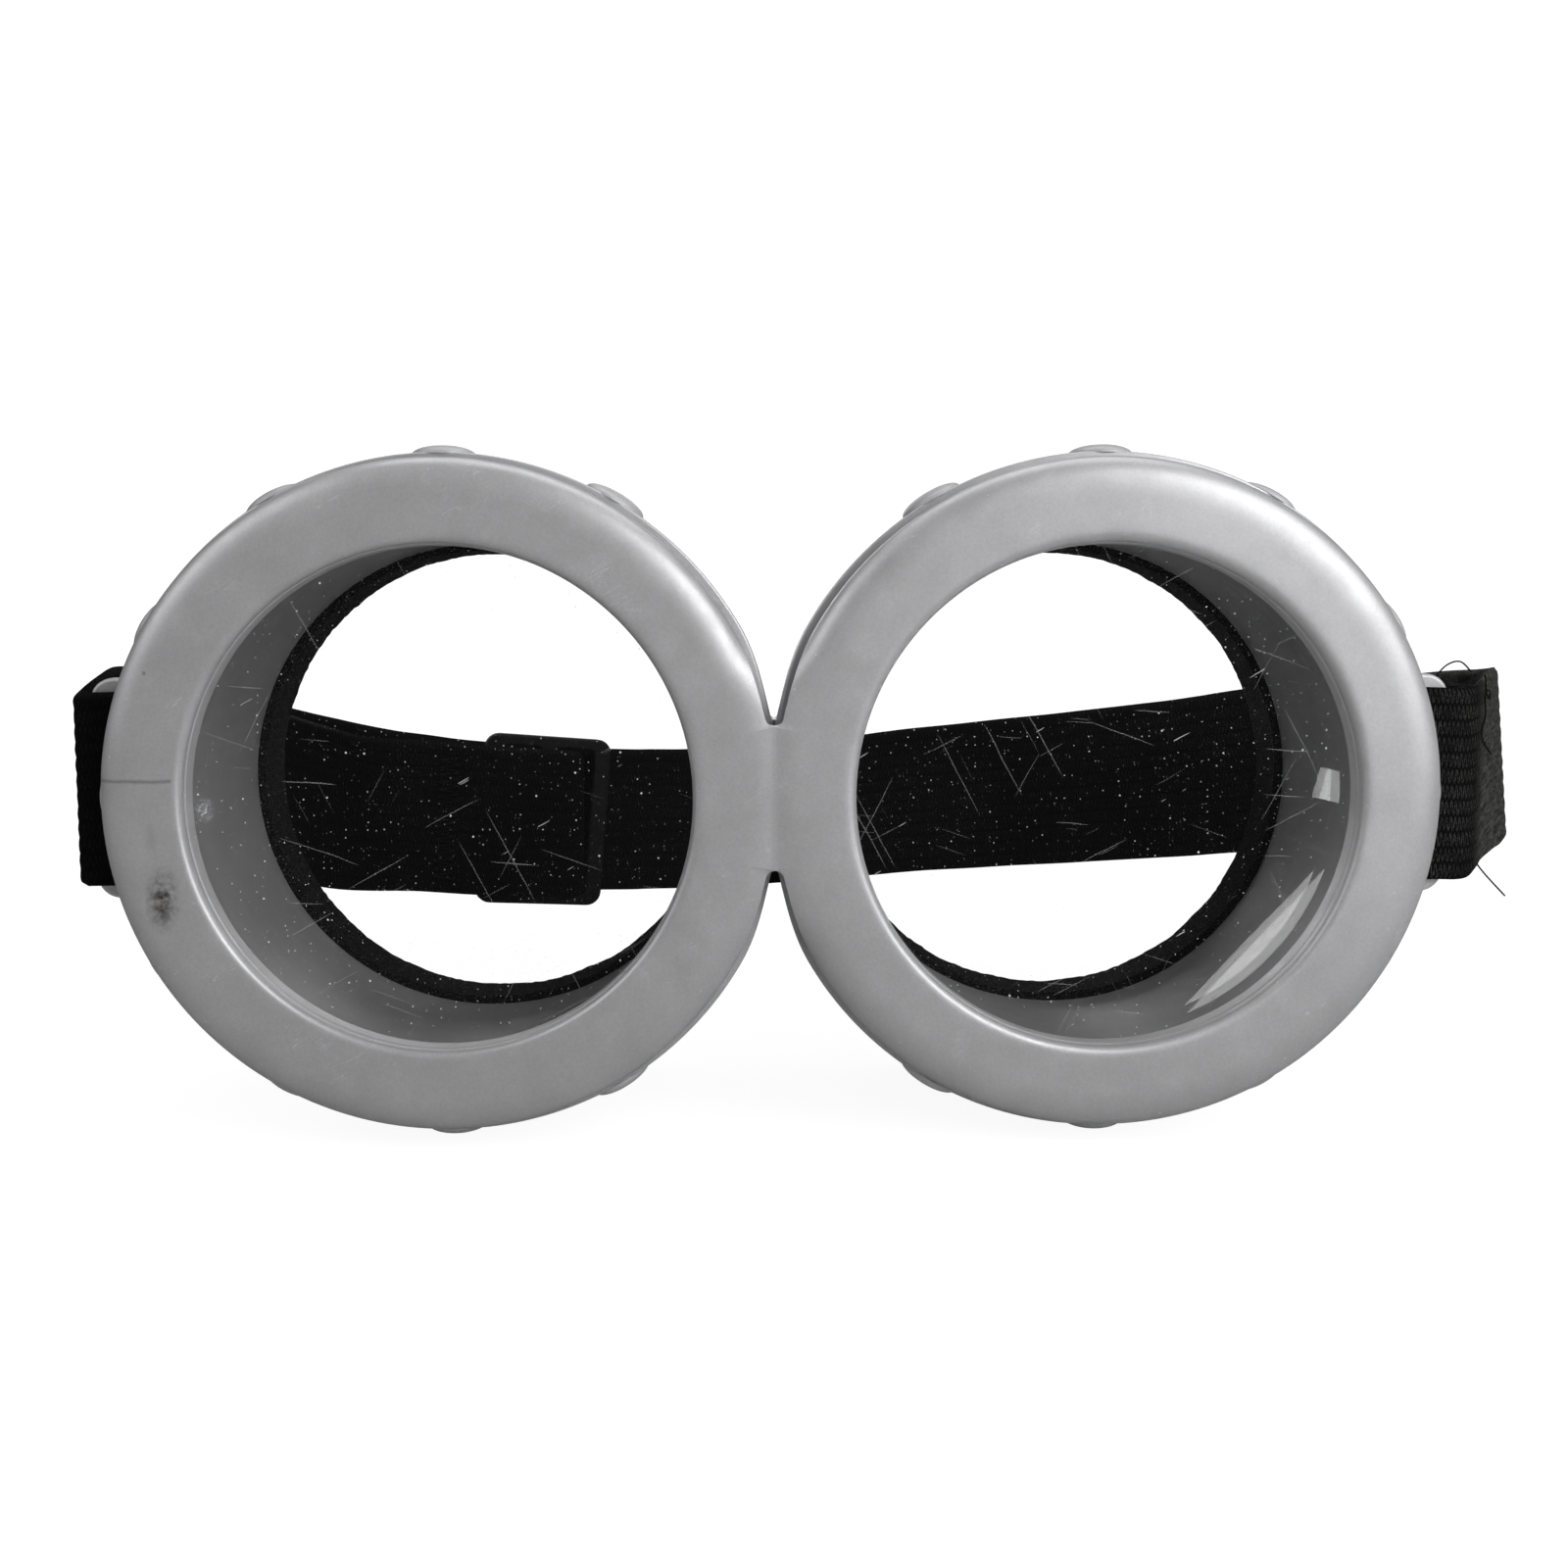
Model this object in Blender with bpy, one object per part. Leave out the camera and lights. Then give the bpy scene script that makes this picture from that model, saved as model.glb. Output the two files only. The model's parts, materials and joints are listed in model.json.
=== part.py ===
"""Round twin-cup welding goggles on an elastic head strap, built piece by piece.

Metres, +Z up. The goggles face -Y and stand upright as they are worn. The origin is the
bottom centre of the bounding box. The pieces are laid out by their depth behind the
foremost face (d), their distance from a cup's axis (r) and their place across (x).
"""
import math

import bpy
import bmesh
from mathutils import Matrix, Vector

MM = 0.001

# Overall layout
CUP_SPACING = 79.0 * MM         # between the axes of the two cups
MIDLINE_X = -8.49 * MM          # the nose line; the right-hand strap loop stands out further
FRONT_Y = -47.08 * MM           # foremost face of the rings
AXIS_Z = 42.0 * MM              # height of both cup axes
SEGMENTS = 48                   # around every turned ring
GAP = 0.3 * MM                  # clearance between touching pieces

# Front frame: two rounded rings in one moulding
RING_OUTER_R = 40.0 * MM
RING_HOLE_R = 29.95 * MM
RING_ROUND = 2.6 * MM           # how far the rounded face falls back at both edges
RING_POWER = 2.6                # fullness of the rounded face
RING_STEPS = 8                  # flats that the rounded face is made of
RING_DEPTH = 4.6 * MM
LENS_SEAT_R = 32.8 * MM
LENS_SEAT_D = 3.9 * MM

# Lens and its snap ring
LENS_R = 32.4 * MM
LENS_THICKNESS = 1.5 * MM
LENS_CHAMFER = 0.25 * MM
SNAP_RING_INNER_R = 31.3 * MM
SNAP_RING_OUTER_R = 32.9 * MM
SNAP_RING_THICKNESS = 1.5 * MM

# Back shell: flanged cups in one moulding, hollow behind the flange
FLANGE_R = 40.9 * MM
FLANGE_WALL = 2.0 * MM
FLANGE_BACK_D = 14.2 * MM
FLANGE_ROUND = 1.2 * MM
SHELL_WEB = 2.0 * MM            # thickness of the wall that closes the channel
TUBE_INNER_FRONT_R = 33.2 * MM
TUBE_INNER_BACK_R = 32.5 * MM
TUBE_WALL = 1.8 * MM
TUBE_FOOT = 0.4 * MM            # how much wider the tube is where it meets the flange
RIM_D = 35.5 * MM               # back edge of the tube, on the temple side
RIM_CHAMFER = 0.5 * MM
NOSE_CUT = 6.5 * MM             # how much shorter the tube is beside the nose

# Foam face seal
FOAM_INNER_R = 31.3 * MM
FOAM_OUTER_R = 34.6 * MM
FOAM_THICKNESS = 8.3 * MM
FOAM_CHAMFER = 0.8 * MM

# Nose bridge web, part of both mouldings
WEB_HALF_WIDTH = 2.2 * MM
WEB_HALF_HEIGHT = 8.5 * MM
WEB_CORNER_R = 0.6 * MM
WEB_FRONT_D = 1.6 * MM

# Dome rivets through the flange wall
RIVET_STEP_DEG = 30
RIVETS_EACH_WAY = 4             # on each side of the one at the temple
RIVET_D = 8.6 * MM
RIVET_HEAD_R = 3.9 * MM
RIVET_HEAD_HEIGHT = 0.8 * MM
RIVET_SHANK_R = 1.3 * MM
RIVET_HOLE_R = 1.7 * MM
RIVET_SEGMENTS = 10
RIVET_HOLE_SEGMENTS = 8
RIVET_TAIL_R = 2.2 * MM
RIVET_TAIL_THICKNESS = 0.9 * MM

# Strap lugs: flat loops on the temple side of each cup
LUG_FRONT_D = 18.0 * MM
LUG_BACK_D = 21.0 * MM
LUG_HALF_HEIGHT = 14.2 * MM
LUG_END_X = 87.3 * MM           # outer edge, from the nose line
LUG_CORNER_R = 3.0 * MM
SLOT_INNER_X = 77.8 * MM
SLOT_OUTER_X = 81.8 * MM
SLOT_HALF_HEIGHT = 12.8 * MM
SLOT_CORNER_R = 0.8 * MM        # corners of the lug and slider slots
CUP_CUT_SEGMENTS = 96           # around the curve where a lug meets its cup

# Elastic strap
STRAP_WIDTH = 24.6 * MM
STRAP_THICKNESS = 1.4 * MM
TILT_D = 19.5 * MM              # the line through both lug bars that the strap tilts about
TILT_SPAN = 130 * MM            # half length of the shapes turned about that line
LOOP_REACH = 14.6 * MM          # the loops around the bars stay inside this radius
STRAP_START = 15.0 * MM         # the swinging strap stays outside this one
STRAP_STEP = 2.6 * MM           # spacing of the cross-sections along the strap
TURN_PER_STEP_DEG = 14          # and the most that the strap turns between two of them
CURVE_STEPS = 12                # points drawn between two points of a route
LAYER_PITCH = STRAP_THICKNESS + GAP

# Slider on the left-hand half of the strap
SLIDER_X = -40.0 * MM
SLIDER_LENGTH = 21.5 * MM
SLIDER_HEIGHT = 28.6 * MM
SLIDER_THICKNESS = 2.0 * MM
SLIDER_BAR = 3.0 * MM
SLIDER_CENTRE_BAR = 2.6 * MM
SLIDER_RAIL = 1.6 * MM
SLIDER_CORNER_R = 2.4 * MM

# Sewn bar tacks
TACK_LENGTH = 3.0 * MM
TACK_HEIGHT = 20.0 * MM
TACK_THICKNESS = 0.6 * MM
TACK_LIFT = 0.1 * MM            # between a tack and the webbing under it

# Routes of the strap's middle line, as (x from the nose line, d, height over the cup axes) in
# millimetres. It rises just behind the lugs and hangs lower around the back.
LOOP_RIGHT_ROUTE = [
    (79.3, 40.0, 2.0), (80.3, 27.0, 2.1), (80.8, 21.0, 0.2), (80.8, 18.0, 0.0),
    (82.0, 16.9, 0.0), (86.0, 16.7, 0.0), (90.2, 18.2, 0.1), (94.0, 23.0, 1.4),
    (98.6, 30.0, 2.4), (103.6, 38.5, 2.4),
]
LOOP_LEFT_ROUTE = [
    (-79.3, 40.0, 2.2), (-80.3, 27.0, 2.4), (-80.8, 21.0, 0.2), (-80.8, 18.0, 0.0),
    (-82.0, 16.9, 0.0), (-87.2, 16.8, 0.0), (-88.6, 18.1, 0.1), (-88.6, 22.0, 1.6),
    (-88.6, 30.0, 3.2), (-88.3, 40.0, 2.6),
]
BAND_ROUTE = [
    (80.3, 27.0, 2.1), (79.3, 38.0, 2.0), (76.9, 47.5, 0.5), (71.5, 55.5, -1.4),
    (61.0, 64.0, -3.4), (46.0, 73.8, -5.6), (30.0, 83.0, -7.8), (16.0, 89.6, -9.7),
    (3.0, 93.0, -11.4), (-10.0, 93.1, -12.1), (-24.0, 89.9, -12.1), (-42.0, 83.4, -11.0),
    (-62.0, 75.8, -8.2), (-74.0, 69.6, -5.2), (-82.8, 60.5, -1.9), (-87.2, 48.5, 1.1),
    (-88.5, 36.0, 2.9), (-88.4, 27.0, 2.9),
]
RETURN_ROUTE = [
    (-80.3, 27.0, 2.4), (-79.3, 38.0, 1.4), (-77.2, 47.5, -1.8), (-73.6, 57.0, -5.0),
    (-70.2, 62.8, -7.0),
]
TAIL_ROUTE = [
    (98.0, 29.0, 2.3), (101.6, 35.0, 2.4), (105.0, 41.5, 2.3), (105.2, 47.5, 1.9),
    (100.5, 53.5, 1.3), (91.0, 57.2, 0.6), (81.0, 57.4, -0.4), (75.0, 57.7, -1.0),
    (72.2, 58.3, -1.5),
]
SEAM_FROM_X = 68.0 * MM         # the tail lies on the band from here
SEAM_TO_X = 57.0 * MM           # to here


# ---------------------------------------------------------------- helpers

def clear_scene():
    for obj in list(bpy.data.objects):
        bpy.data.objects.remove(obj, do_unlink=True)


def make_material(name, colour, roughness, metallic=0.0, alpha=1.0):
    material = bpy.data.materials.new(name)
    material.use_nodes = True
    shader = material.node_tree.nodes["Principled BSDF"]
    shader.inputs["Base Color"].default_value = (*colour, 1.0)
    shader.inputs["Roughness"].default_value = roughness
    shader.inputs["Metallic"].default_value = metallic
    shader.inputs["Alpha"].default_value = alpha
    return material


def place(x, d, z=0.0):
    """A point across, behind the front face and above the cup axes, in the part's frame."""
    return Vector((MIDLINE_X + x, FRONT_Y + d, AXIS_Z + z))


def add_object(name, mesh, material, smooth=True):
    obj = bpy.data.objects.new(name, mesh)
    bpy.context.scene.collection.objects.link(obj)
    if material is not None:
        obj.data.materials.append(material)
    if smooth:
        mesh.shade_smooth()
        mesh.set_sharp_from_angle(angle=math.radians(35))
    return obj


def mesh_from(name, bm):
    bmesh.ops.recalc_face_normals(bm, faces=bm.faces)
    mesh = bpy.data.meshes.new(name)
    bm.to_mesh(mesh)
    bm.free()
    return mesh


def hide_cutter(obj):
    obj.hide_render = True
    obj.display_type = "WIRE"


def boolean(obj, other, operation):
    modifier = obj.modifiers.new(operation.lower(), "BOOLEAN")
    modifier.object = other
    modifier.operation = operation
    modifier.solver = "EXACT"


def turned_ring(name, profile, side, contour=None):
    """Turn a closed (r, d) profile about a cup axis; contour moves points in depth."""
    bm = bmesh.new()
    rows = []
    for step in range(SEGMENTS):
        angle = 2 * math.pi * step / SEGMENTS
        toward_temple = side * math.cos(angle)
        row = []
        for r, d in profile:
            shift = contour(d, toward_temple) if contour else 0.0
            x = side * CUP_SPACING / 2 + r * math.cos(angle)
            row.append(bm.verts.new(place(x, d + shift, r * math.sin(angle))))
        rows.append(row)
    for step, row in enumerate(rows):
        following = rows[(step + 1) % SEGMENTS]
        for i in range(len(profile)):
            j = (i + 1) % len(profile)
            bm.faces.new((row[i], row[j], following[j], following[i]))
    return mesh_from(name, bm)


def turned_disc(name, profile, frame, segments):
    """Turn an open (r, h) profile whose ends lie on the axis; frame places its +Z axis."""
    bm = bmesh.new()
    rings = []
    for r, h in profile:
        if r == 0:
            rings.append([bm.verts.new(frame @ Vector((0, 0, h)))])
            continue
        ring = []
        for step in range(segments):
            angle = 2 * math.pi * step / segments
            ring.append(bm.verts.new(frame @ Vector((r * math.cos(angle), r * math.sin(angle), h))))
        rings.append(ring)
    for low, high in zip(rings, rings[1:]):
        for step in range(segments):
            following = (step + 1) % segments
            corners = [low[step % len(low)], low[following % len(low)],
                       high[following % len(high)], high[step % len(high)]]
            unique = list(dict.fromkeys(corners))
            bm.faces.new(unique)
    return mesh_from(name, bm)


def prism(name, outline, low, high, to_point):
    """Extrude a closed 2-D outline between two levels."""
    bm = bmesh.new()
    bottom = [bm.verts.new(to_point(u, v, low)) for u, v in outline]
    top = [bm.verts.new(to_point(u, v, high)) for u, v in outline]
    bm.faces.new(bottom)
    bm.faces.new(top)
    for i in range(len(outline)):
        j = (i + 1) % len(outline)
        bm.faces.new((bottom[i], bottom[j], top[j], top[i]))
    return mesh_from(name, bm)


def rounded_rectangle(low_u, high_u, low_v, high_v, radius, steps=4):
    corners = [(high_u - radius, high_v - radius, 0), (low_u + radius, high_v - radius, 90),
               (low_u + radius, low_v + radius, 180), (high_u - radius, low_v + radius, 270)]
    outline = []
    for u, v, start in corners:
        for step in range(steps + 1):
            angle = math.radians(start + 90 * step / steps)
            outline.append((u + radius * math.cos(angle), v + radius * math.sin(angle)))
    return outline


def smooth_route(points):
    """Catmull-Rom curve through (x, d, z) points in metres, resampled at STRAP_STEP."""
    padded = [points[0]] + list(points) + [points[-1]]
    fine = []
    for p0, p1, p2, p3 in zip(padded, padded[1:], padded[2:], padded[3:]):
        for step in range(CURVE_STEPS):
            t = step / CURVE_STEPS
            fine.append(tuple(
                0.5 * (2 * b + (c - a) * t + (2 * a - 5 * b + 4 * c - e) * t * t
                       + (3 * b - a - 3 * c + e) * t ** 3)
                for a, b, c, e in zip(p0, p1, p2, p3)))
    fine.append(points[-1])
    return resample(fine)


def resample(points):
    """Even spacing along a polyline, finer where it turns."""
    total = [0.0]
    for a, b in zip(points, points[1:]):
        total.append(total[-1] + math.dist(a, b))
    turn = [0.0]
    for a, b, c in zip(points, points[1:], points[2:]):
        first = math.atan2(b[1] - a[1], b[0] - a[0])
        second = math.atan2(c[1] - b[1], c[0] - b[0])
        turn.append(turn[-1] + abs(math.remainder(second - first, math.tau)))
    turn.append(turn[-1])
    most = math.radians(TURN_PER_STEP_DEG)
    weight = [s / STRAP_STEP + angle / most for s, angle in zip(total, turn)]
    count = max(2, math.ceil(weight[-1]))
    result = []
    i = 0
    for step in range(count + 1):
        target = weight[-1] * step / count
        while i < len(points) - 2 and weight[i + 1] < target:
            i += 1
        span = weight[i + 1] - weight[i]
        t = (target - weight[i]) / span if span > 0 else 0.0
        result.append(tuple(a + (b - a) * t for a, b in zip(points[i], points[i + 1])))
    return result


def in_metres(route):
    return [tuple(value * MM for value in point) for point in route]


def section_axes(along):
    """Level normal and upward axis of a strap section, square to the direction of travel."""
    along = Vector(along).normalized()
    normal = Vector((-along.y, along.x, 0)).normalized()
    return normal, along.cross(normal) * -1


def path_axes(points, last=None):
    """Axes of every section; last sets the direction of travel at the final one."""
    axes = []
    for i, _ in enumerate(points):
        before = Vector(points[max(i - 1, 0)])
        after = Vector(points[min(i + 1, len(points) - 1)])
        axes.append(section_axes(after - before))
    if last:
        axes[-1] = section_axes(last)
    return axes


def offset(points, distance):
    return [tuple(Vector(point) + normal * distance)
            for point, (normal, _) in zip(points, path_axes(points))]


def strap_mesh(name, route, width=STRAP_WIDTH, thickness=STRAP_THICKNESS, edge=None,
               last=None):
    """A flat band along a route, relative to the tilt line; edge is its fixed upward axis
    and last the way its final section faces."""
    bm = bmesh.new()
    sections = []
    for point, (normal, up) in zip(route, path_axes(route, last)):
        up = edge or up
        middle = Vector(point) - Vector((0, TILT_D, 0))
        section = []
        for side, level in ((1, -1), (-1, -1), (-1, 1), (1, 1)):
            corner = middle + normal * (side * thickness / 2) + up * (level * width / 2)
            section.append(bm.verts.new(corner))
        sections.append(section)
    for one, two in zip(sections, sections[1:]):
        for i in range(4):
            j = (i + 1) % 4
            bm.faces.new((one[i], one[j], two[j], two[i]))
    bm.faces.new(sections[0])
    bm.faces.new(sections[-1])
    # where the band twists, triangles leave no doubt about the shape of its faces
    bmesh.ops.triangulate(bm, faces=bm.faces)
    return mesh_from(name, bm)


def tilt_cylinder(name, radius):
    """A bar along X about the tilt line, used to end the strap in matching arcs."""
    frame = Matrix.Rotation(math.radians(90), 4, "Y")
    profile = [(0, -TILT_SPAN), (radius, -TILT_SPAN), (radius, TILT_SPAN), (0, TILT_SPAN)]
    cylinder = add_object(name, turned_disc(name, profile, frame, SEGMENTS), None, smooth=False)
    cylinder.location = place(0, TILT_D)
    hide_cutter(cylinder)
    return cylinder


def rim_contour(d, toward_temple):
    """The tube is cut back beside the nose; nothing moves in front of the flange's back."""
    share = min(max((d - FLANGE_BACK_D) / (RIM_D - FLANGE_BACK_D), 0.0), 1.0)
    return -share * NOSE_CUT * min(toward_temple, 0.0) ** 2


# ---------------------------------------------------------------- cups

def ring_profile():
    middle = (RING_OUTER_R + RING_HOLE_R) / 2
    half = (RING_OUTER_R - RING_HOLE_R) / 2
    outline = []
    for step in range(RING_STEPS + 1):
        u = math.cos(math.pi * step / RING_STEPS)
        fall = RING_ROUND * (1 - math.sqrt(max(0.0, 1 - abs(u) ** RING_POWER)))
        outline.append((middle + half * u, fall))
    return outline + [
        (RING_HOLE_R, LENS_SEAT_D), (LENS_SEAT_R, LENS_SEAT_D),
        (LENS_SEAT_R, RING_DEPTH), (RING_OUTER_R, RING_DEPTH),
    ]


def web_block(name, front, back):
    outline = rounded_rectangle(-WEB_HALF_WIDTH, WEB_HALF_WIDTH,
                                -WEB_HALF_HEIGHT, WEB_HALF_HEIGHT, WEB_CORNER_R)
    mesh = prism(name, outline, front, back, lambda u, v, w: place(u, w, v))
    block = add_object(name, mesh, None, smooth=False)
    hide_cutter(block)
    return block


def build_front_frame(material):
    profile = ring_profile()
    frame = add_object("front_frame", turned_ring("front_frame", profile, -1), material)
    other = add_object("front_ring_right_shape", turned_ring("ring", profile, 1), None)
    hide_cutter(other)
    boolean(frame, other, "UNION")
    boolean(frame, web_block("front_web_shape", WEB_FRONT_D, RING_DEPTH), "UNION")


def shell_profile():
    front = RING_DEPTH + GAP
    channel_back = FLANGE_BACK_D - SHELL_WEB
    tube_outer_front = TUBE_INNER_FRONT_R + TUBE_WALL
    tube_outer_back = TUBE_INNER_BACK_R + TUBE_WALL
    rounding = [(FLANGE_R - FLANGE_ROUND + FLANGE_ROUND * math.cos(math.radians(a)),
                 FLANGE_BACK_D - FLANGE_ROUND + FLANGE_ROUND * math.sin(math.radians(a)))
                for a in (0, 45, 90)]
    return [(FLANGE_R, front)] + rounding + [
        (tube_outer_front + TUBE_FOOT, FLANGE_BACK_D), (tube_outer_back, RIM_D - RIM_CHAMFER),
        (tube_outer_back - RIM_CHAMFER, RIM_D), (TUBE_INNER_BACK_R + RIM_CHAMFER, RIM_D),
        (TUBE_INNER_BACK_R, RIM_D - RIM_CHAMFER), (TUBE_INNER_FRONT_R, front),
        (tube_outer_front, front), (tube_outer_front, channel_back),
        (FLANGE_R - FLANGE_WALL, channel_back), (FLANGE_R - FLANGE_WALL, front),
    ]


def rivet_frame(side, step):
    """The rivet's axis leaves the cup square to the flange; +Z points outward."""
    angle = math.radians(RIVET_STEP_DEG * step)
    outward = Vector((side * math.cos(angle), 0, math.sin(angle)))
    tangent = Vector((0, 1, 0))
    across = tangent.cross(outward)
    frame = Matrix((tangent, across, outward)).transposed().to_4x4()
    frame.translation = place(side * CUP_SPACING / 2, RIVET_D)
    return frame


def build_rivet_holes():
    bm = bmesh.new()
    middle = Matrix.Translation((0, 0, FLANGE_R - FLANGE_WALL / 2))
    for side in (-1, 1):
        for step in range(-RIVETS_EACH_WAY, RIVETS_EACH_WAY + 1):
            bmesh.ops.create_cone(
                bm, cap_ends=True, segments=RIVET_HOLE_SEGMENTS, radius1=RIVET_HOLE_R,
                radius2=RIVET_HOLE_R, depth=2 * FLANGE_WALL,
                matrix=rivet_frame(side, step) @ middle)
    holes = add_object("rivet_hole_shapes", mesh_from("holes", bm), None, smooth=False)
    hide_cutter(holes)
    return holes


def build_back_shell(material):
    profile = shell_profile()
    shell = add_object("back_shell", turned_ring("back_shell", profile, -1, rim_contour), material)
    other = add_object("back_cup_right_shape", turned_ring("cup", profile, 1, rim_contour), None)
    hide_cutter(other)
    boolean(shell, other, "UNION")
    web = web_block("back_web_shape", RING_DEPTH + GAP, FLANGE_BACK_D - FLANGE_ROUND)
    boolean(shell, web, "UNION")
    boolean(shell, build_rivet_holes(), "DIFFERENCE")


def build_rivets(material):
    base = FLANGE_R + GAP
    dome_r = (RIVET_HEAD_R ** 2 + RIVET_HEAD_HEIGHT ** 2) / (2 * RIVET_HEAD_HEIGHT)
    half_angle = math.asin(RIVET_HEAD_R / dome_r)
    dome = []
    for share in (1, 0.5, 0):
        angle = half_angle * share
        height = dome_r * math.cos(angle) - dome_r + RIVET_HEAD_HEIGHT
        dome.append((dome_r * math.sin(angle), base + height))
    tail_out = FLANGE_R - FLANGE_WALL - GAP
    tail_in = tail_out - RIVET_TAIL_THICKNESS
    profile = [(0, tail_in), (RIVET_TAIL_R, tail_in), (RIVET_TAIL_R, tail_out),
               (RIVET_SHANK_R, tail_out), (RIVET_SHANK_R, base)] + dome
    for side, word in ((-1, "left"), (1, "right")):
        for number, step in enumerate(range(-RIVETS_EACH_WAY, RIVETS_EACH_WAY + 1), 1):
            name = f"rivet_{word}_{number}"
            mesh = turned_disc(name, profile, rivet_frame(side, step), RIVET_SEGMENTS)
            add_object(name, mesh, material)


def build_lenses(material):
    front = LENS_SEAT_D + GAP
    profile = [(0, front), (LENS_R - LENS_CHAMFER, front), (LENS_R, front + LENS_CHAMFER),
               (LENS_R, front + LENS_THICKNESS), (0, front + LENS_THICKNESS)]
    for side, word in ((-1, "left"), (1, "right")):
        frame = Matrix.Translation(place(side * CUP_SPACING / 2, 0))
        frame = frame @ Matrix.Rotation(math.radians(-90), 4, "X")
        name = f"lens_{word}"
        add_object(name, turned_disc(name, profile, frame, SEGMENTS), material)


def build_snap_rings(material):
    front = LENS_SEAT_D + GAP + LENS_THICKNESS + GAP
    back = front + SNAP_RING_THICKNESS
    profile = [(SNAP_RING_OUTER_R, front), (SNAP_RING_OUTER_R, back),
               (SNAP_RING_INNER_R, back), (SNAP_RING_INNER_R, front)]
    for side, word in ((-1, "left"), (1, "right")):
        name = f"lens_snap_ring_{word}"
        add_object(name, turned_ring(name, profile, side), material)


def build_foam_seals(material):
    front = RIM_D + GAP
    back = front + FOAM_THICKNESS
    profile = [(FOAM_OUTER_R, front), (FOAM_OUTER_R, back - FOAM_CHAMFER),
               (FOAM_OUTER_R - FOAM_CHAMFER, back), (FOAM_INNER_R, back), (FOAM_INNER_R, front)]
    for side, word in ((-1, "left"), (1, "right")):
        name = f"foam_seal_{word}"
        add_object(name, turned_ring(name, profile, side, rim_contour), material)


def build_lugs(material):
    root_x = CUP_SPACING / 2 + TUBE_INNER_BACK_R
    clearance_r = TUBE_INNER_FRONT_R + TUBE_WALL + TUBE_FOOT + GAP
    for side, word in ((-1, "left"), (1, "right")):
        def to_point(u, v, w, side=side):
            return place(side * u, w, v)
        outline = rounded_rectangle(root_x, LUG_END_X, -LUG_HALF_HEIGHT, LUG_HALF_HEIGHT,
                                    LUG_CORNER_R)
        name = f"strap_lug_{word}"
        lug = add_object(name, prism(name, outline, LUG_FRONT_D, LUG_BACK_D, to_point), material)
        slot_outline = rounded_rectangle(SLOT_INNER_X, SLOT_OUTER_X, -SLOT_HALF_HEIGHT,
                                         SLOT_HALF_HEIGHT, SLOT_CORNER_R, steps=2)
        slot = add_object(f"slot_shape_{word}", prism("slot", slot_outline, LUG_FRONT_D - MM,
                                                      LUG_BACK_D + MM, to_point), None, False)
        cup_frame = Matrix.Translation(place(side * CUP_SPACING / 2, 0))
        cup_frame = cup_frame @ Matrix.Rotation(math.radians(-90), 4, "X")
        cup_profile = [(0, 0), (clearance_r, 0), (clearance_r, RIM_D), (0, RIM_D)]
        cup = add_object(f"cup_shape_{word}", turned_disc("cup", cup_profile, cup_frame,
                                                       CUP_CUT_SEGMENTS), None, False)
        for cutter in (slot, cup):
            hide_cutter(cutter)
            boolean(lug, cutter, "DIFFERENCE")


# ---------------------------------------------------------------- strap

def build_strap_loops(material):
    """The two short turns of webbing around the lug bars, ended in an arc."""
    inside = tilt_cylinder("loop_end_shape", LOOP_REACH)
    for word, route in (("left", LOOP_LEFT_ROUTE), ("right", LOOP_RIGHT_ROUTE)):
        name = f"strap_loop_{word}"
        mesh = strap_mesh(name, smooth_route(in_metres(route)), edge=Vector((0, 0, 1)))
        loop = add_object(name, mesh, material)
        loop.location = place(0, TILT_D)
        boolean(loop, inside, "INTERSECT")


def seam_part(band_route):
    """The stretch of the tail that lies on the back of the band, where it is sewn."""
    on_band = [p for p in band_route if SEAM_TO_X < p[0] < SEAM_FROM_X and p[1] > TILT_D]
    return offset(on_band, -LAYER_PITCH)


def slider_place(band_route):
    """Middle of the band behind the slider, and the direction of travel there."""
    nearest = min(range(len(band_route)), key=lambda i: abs(band_route[i][0] - SLIDER_X))
    before, after = Vector(band_route[nearest - 2]), Vector(band_route[nearest + 2])
    share = (SLIDER_X - before.x) / (after.x - before.x)
    return before.lerp(after, share), (after - before).normalized()


def slider_stack():
    """Distances from the slider's middle plane to the layers of webbing on each side."""
    first = SLIDER_THICKNESS / 2 + GAP + STRAP_THICKNESS / 2
    return first, first + LAYER_PITCH


def slider_point(centre, along, s, n, v=0.0):
    """A point s along the band, n towards the cups and v above the slider's middle."""
    second = slider_stack()[1]
    inward, up = section_axes(along)
    return centre + along * s + inward * (n + second) + up * v


def sewn_end_route(centre, along):
    """From the return layer, over the centre bar, around it and back as the sewn tail."""
    first, second = slider_stack()
    route = [(30.0 * MM, second), (22.0 * MM, second), (13.0 * MM, second),
             (8.0 * MM, second), (4.0 * MM, first + 0.6 * MM), (0.8 * MM, first)]
    for a in (90, 126, 162, 198, 234, 270):
        angle = math.radians(a)
        route.append((-1.3 * MM + first * math.cos(angle), first * math.sin(angle)))
    route += [(0.8 * MM, -first), (2.2 * MM, -first + 0.6 * MM), (4.4 * MM, 0.0),
              (6.7 * MM, first - 0.2 * MM), (8.4 * MM, first), (13.0 * MM, first),
              (25.0 * MM, first)]
    return [tuple(slider_point(centre, along, s, n)) for s, n in route]


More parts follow.
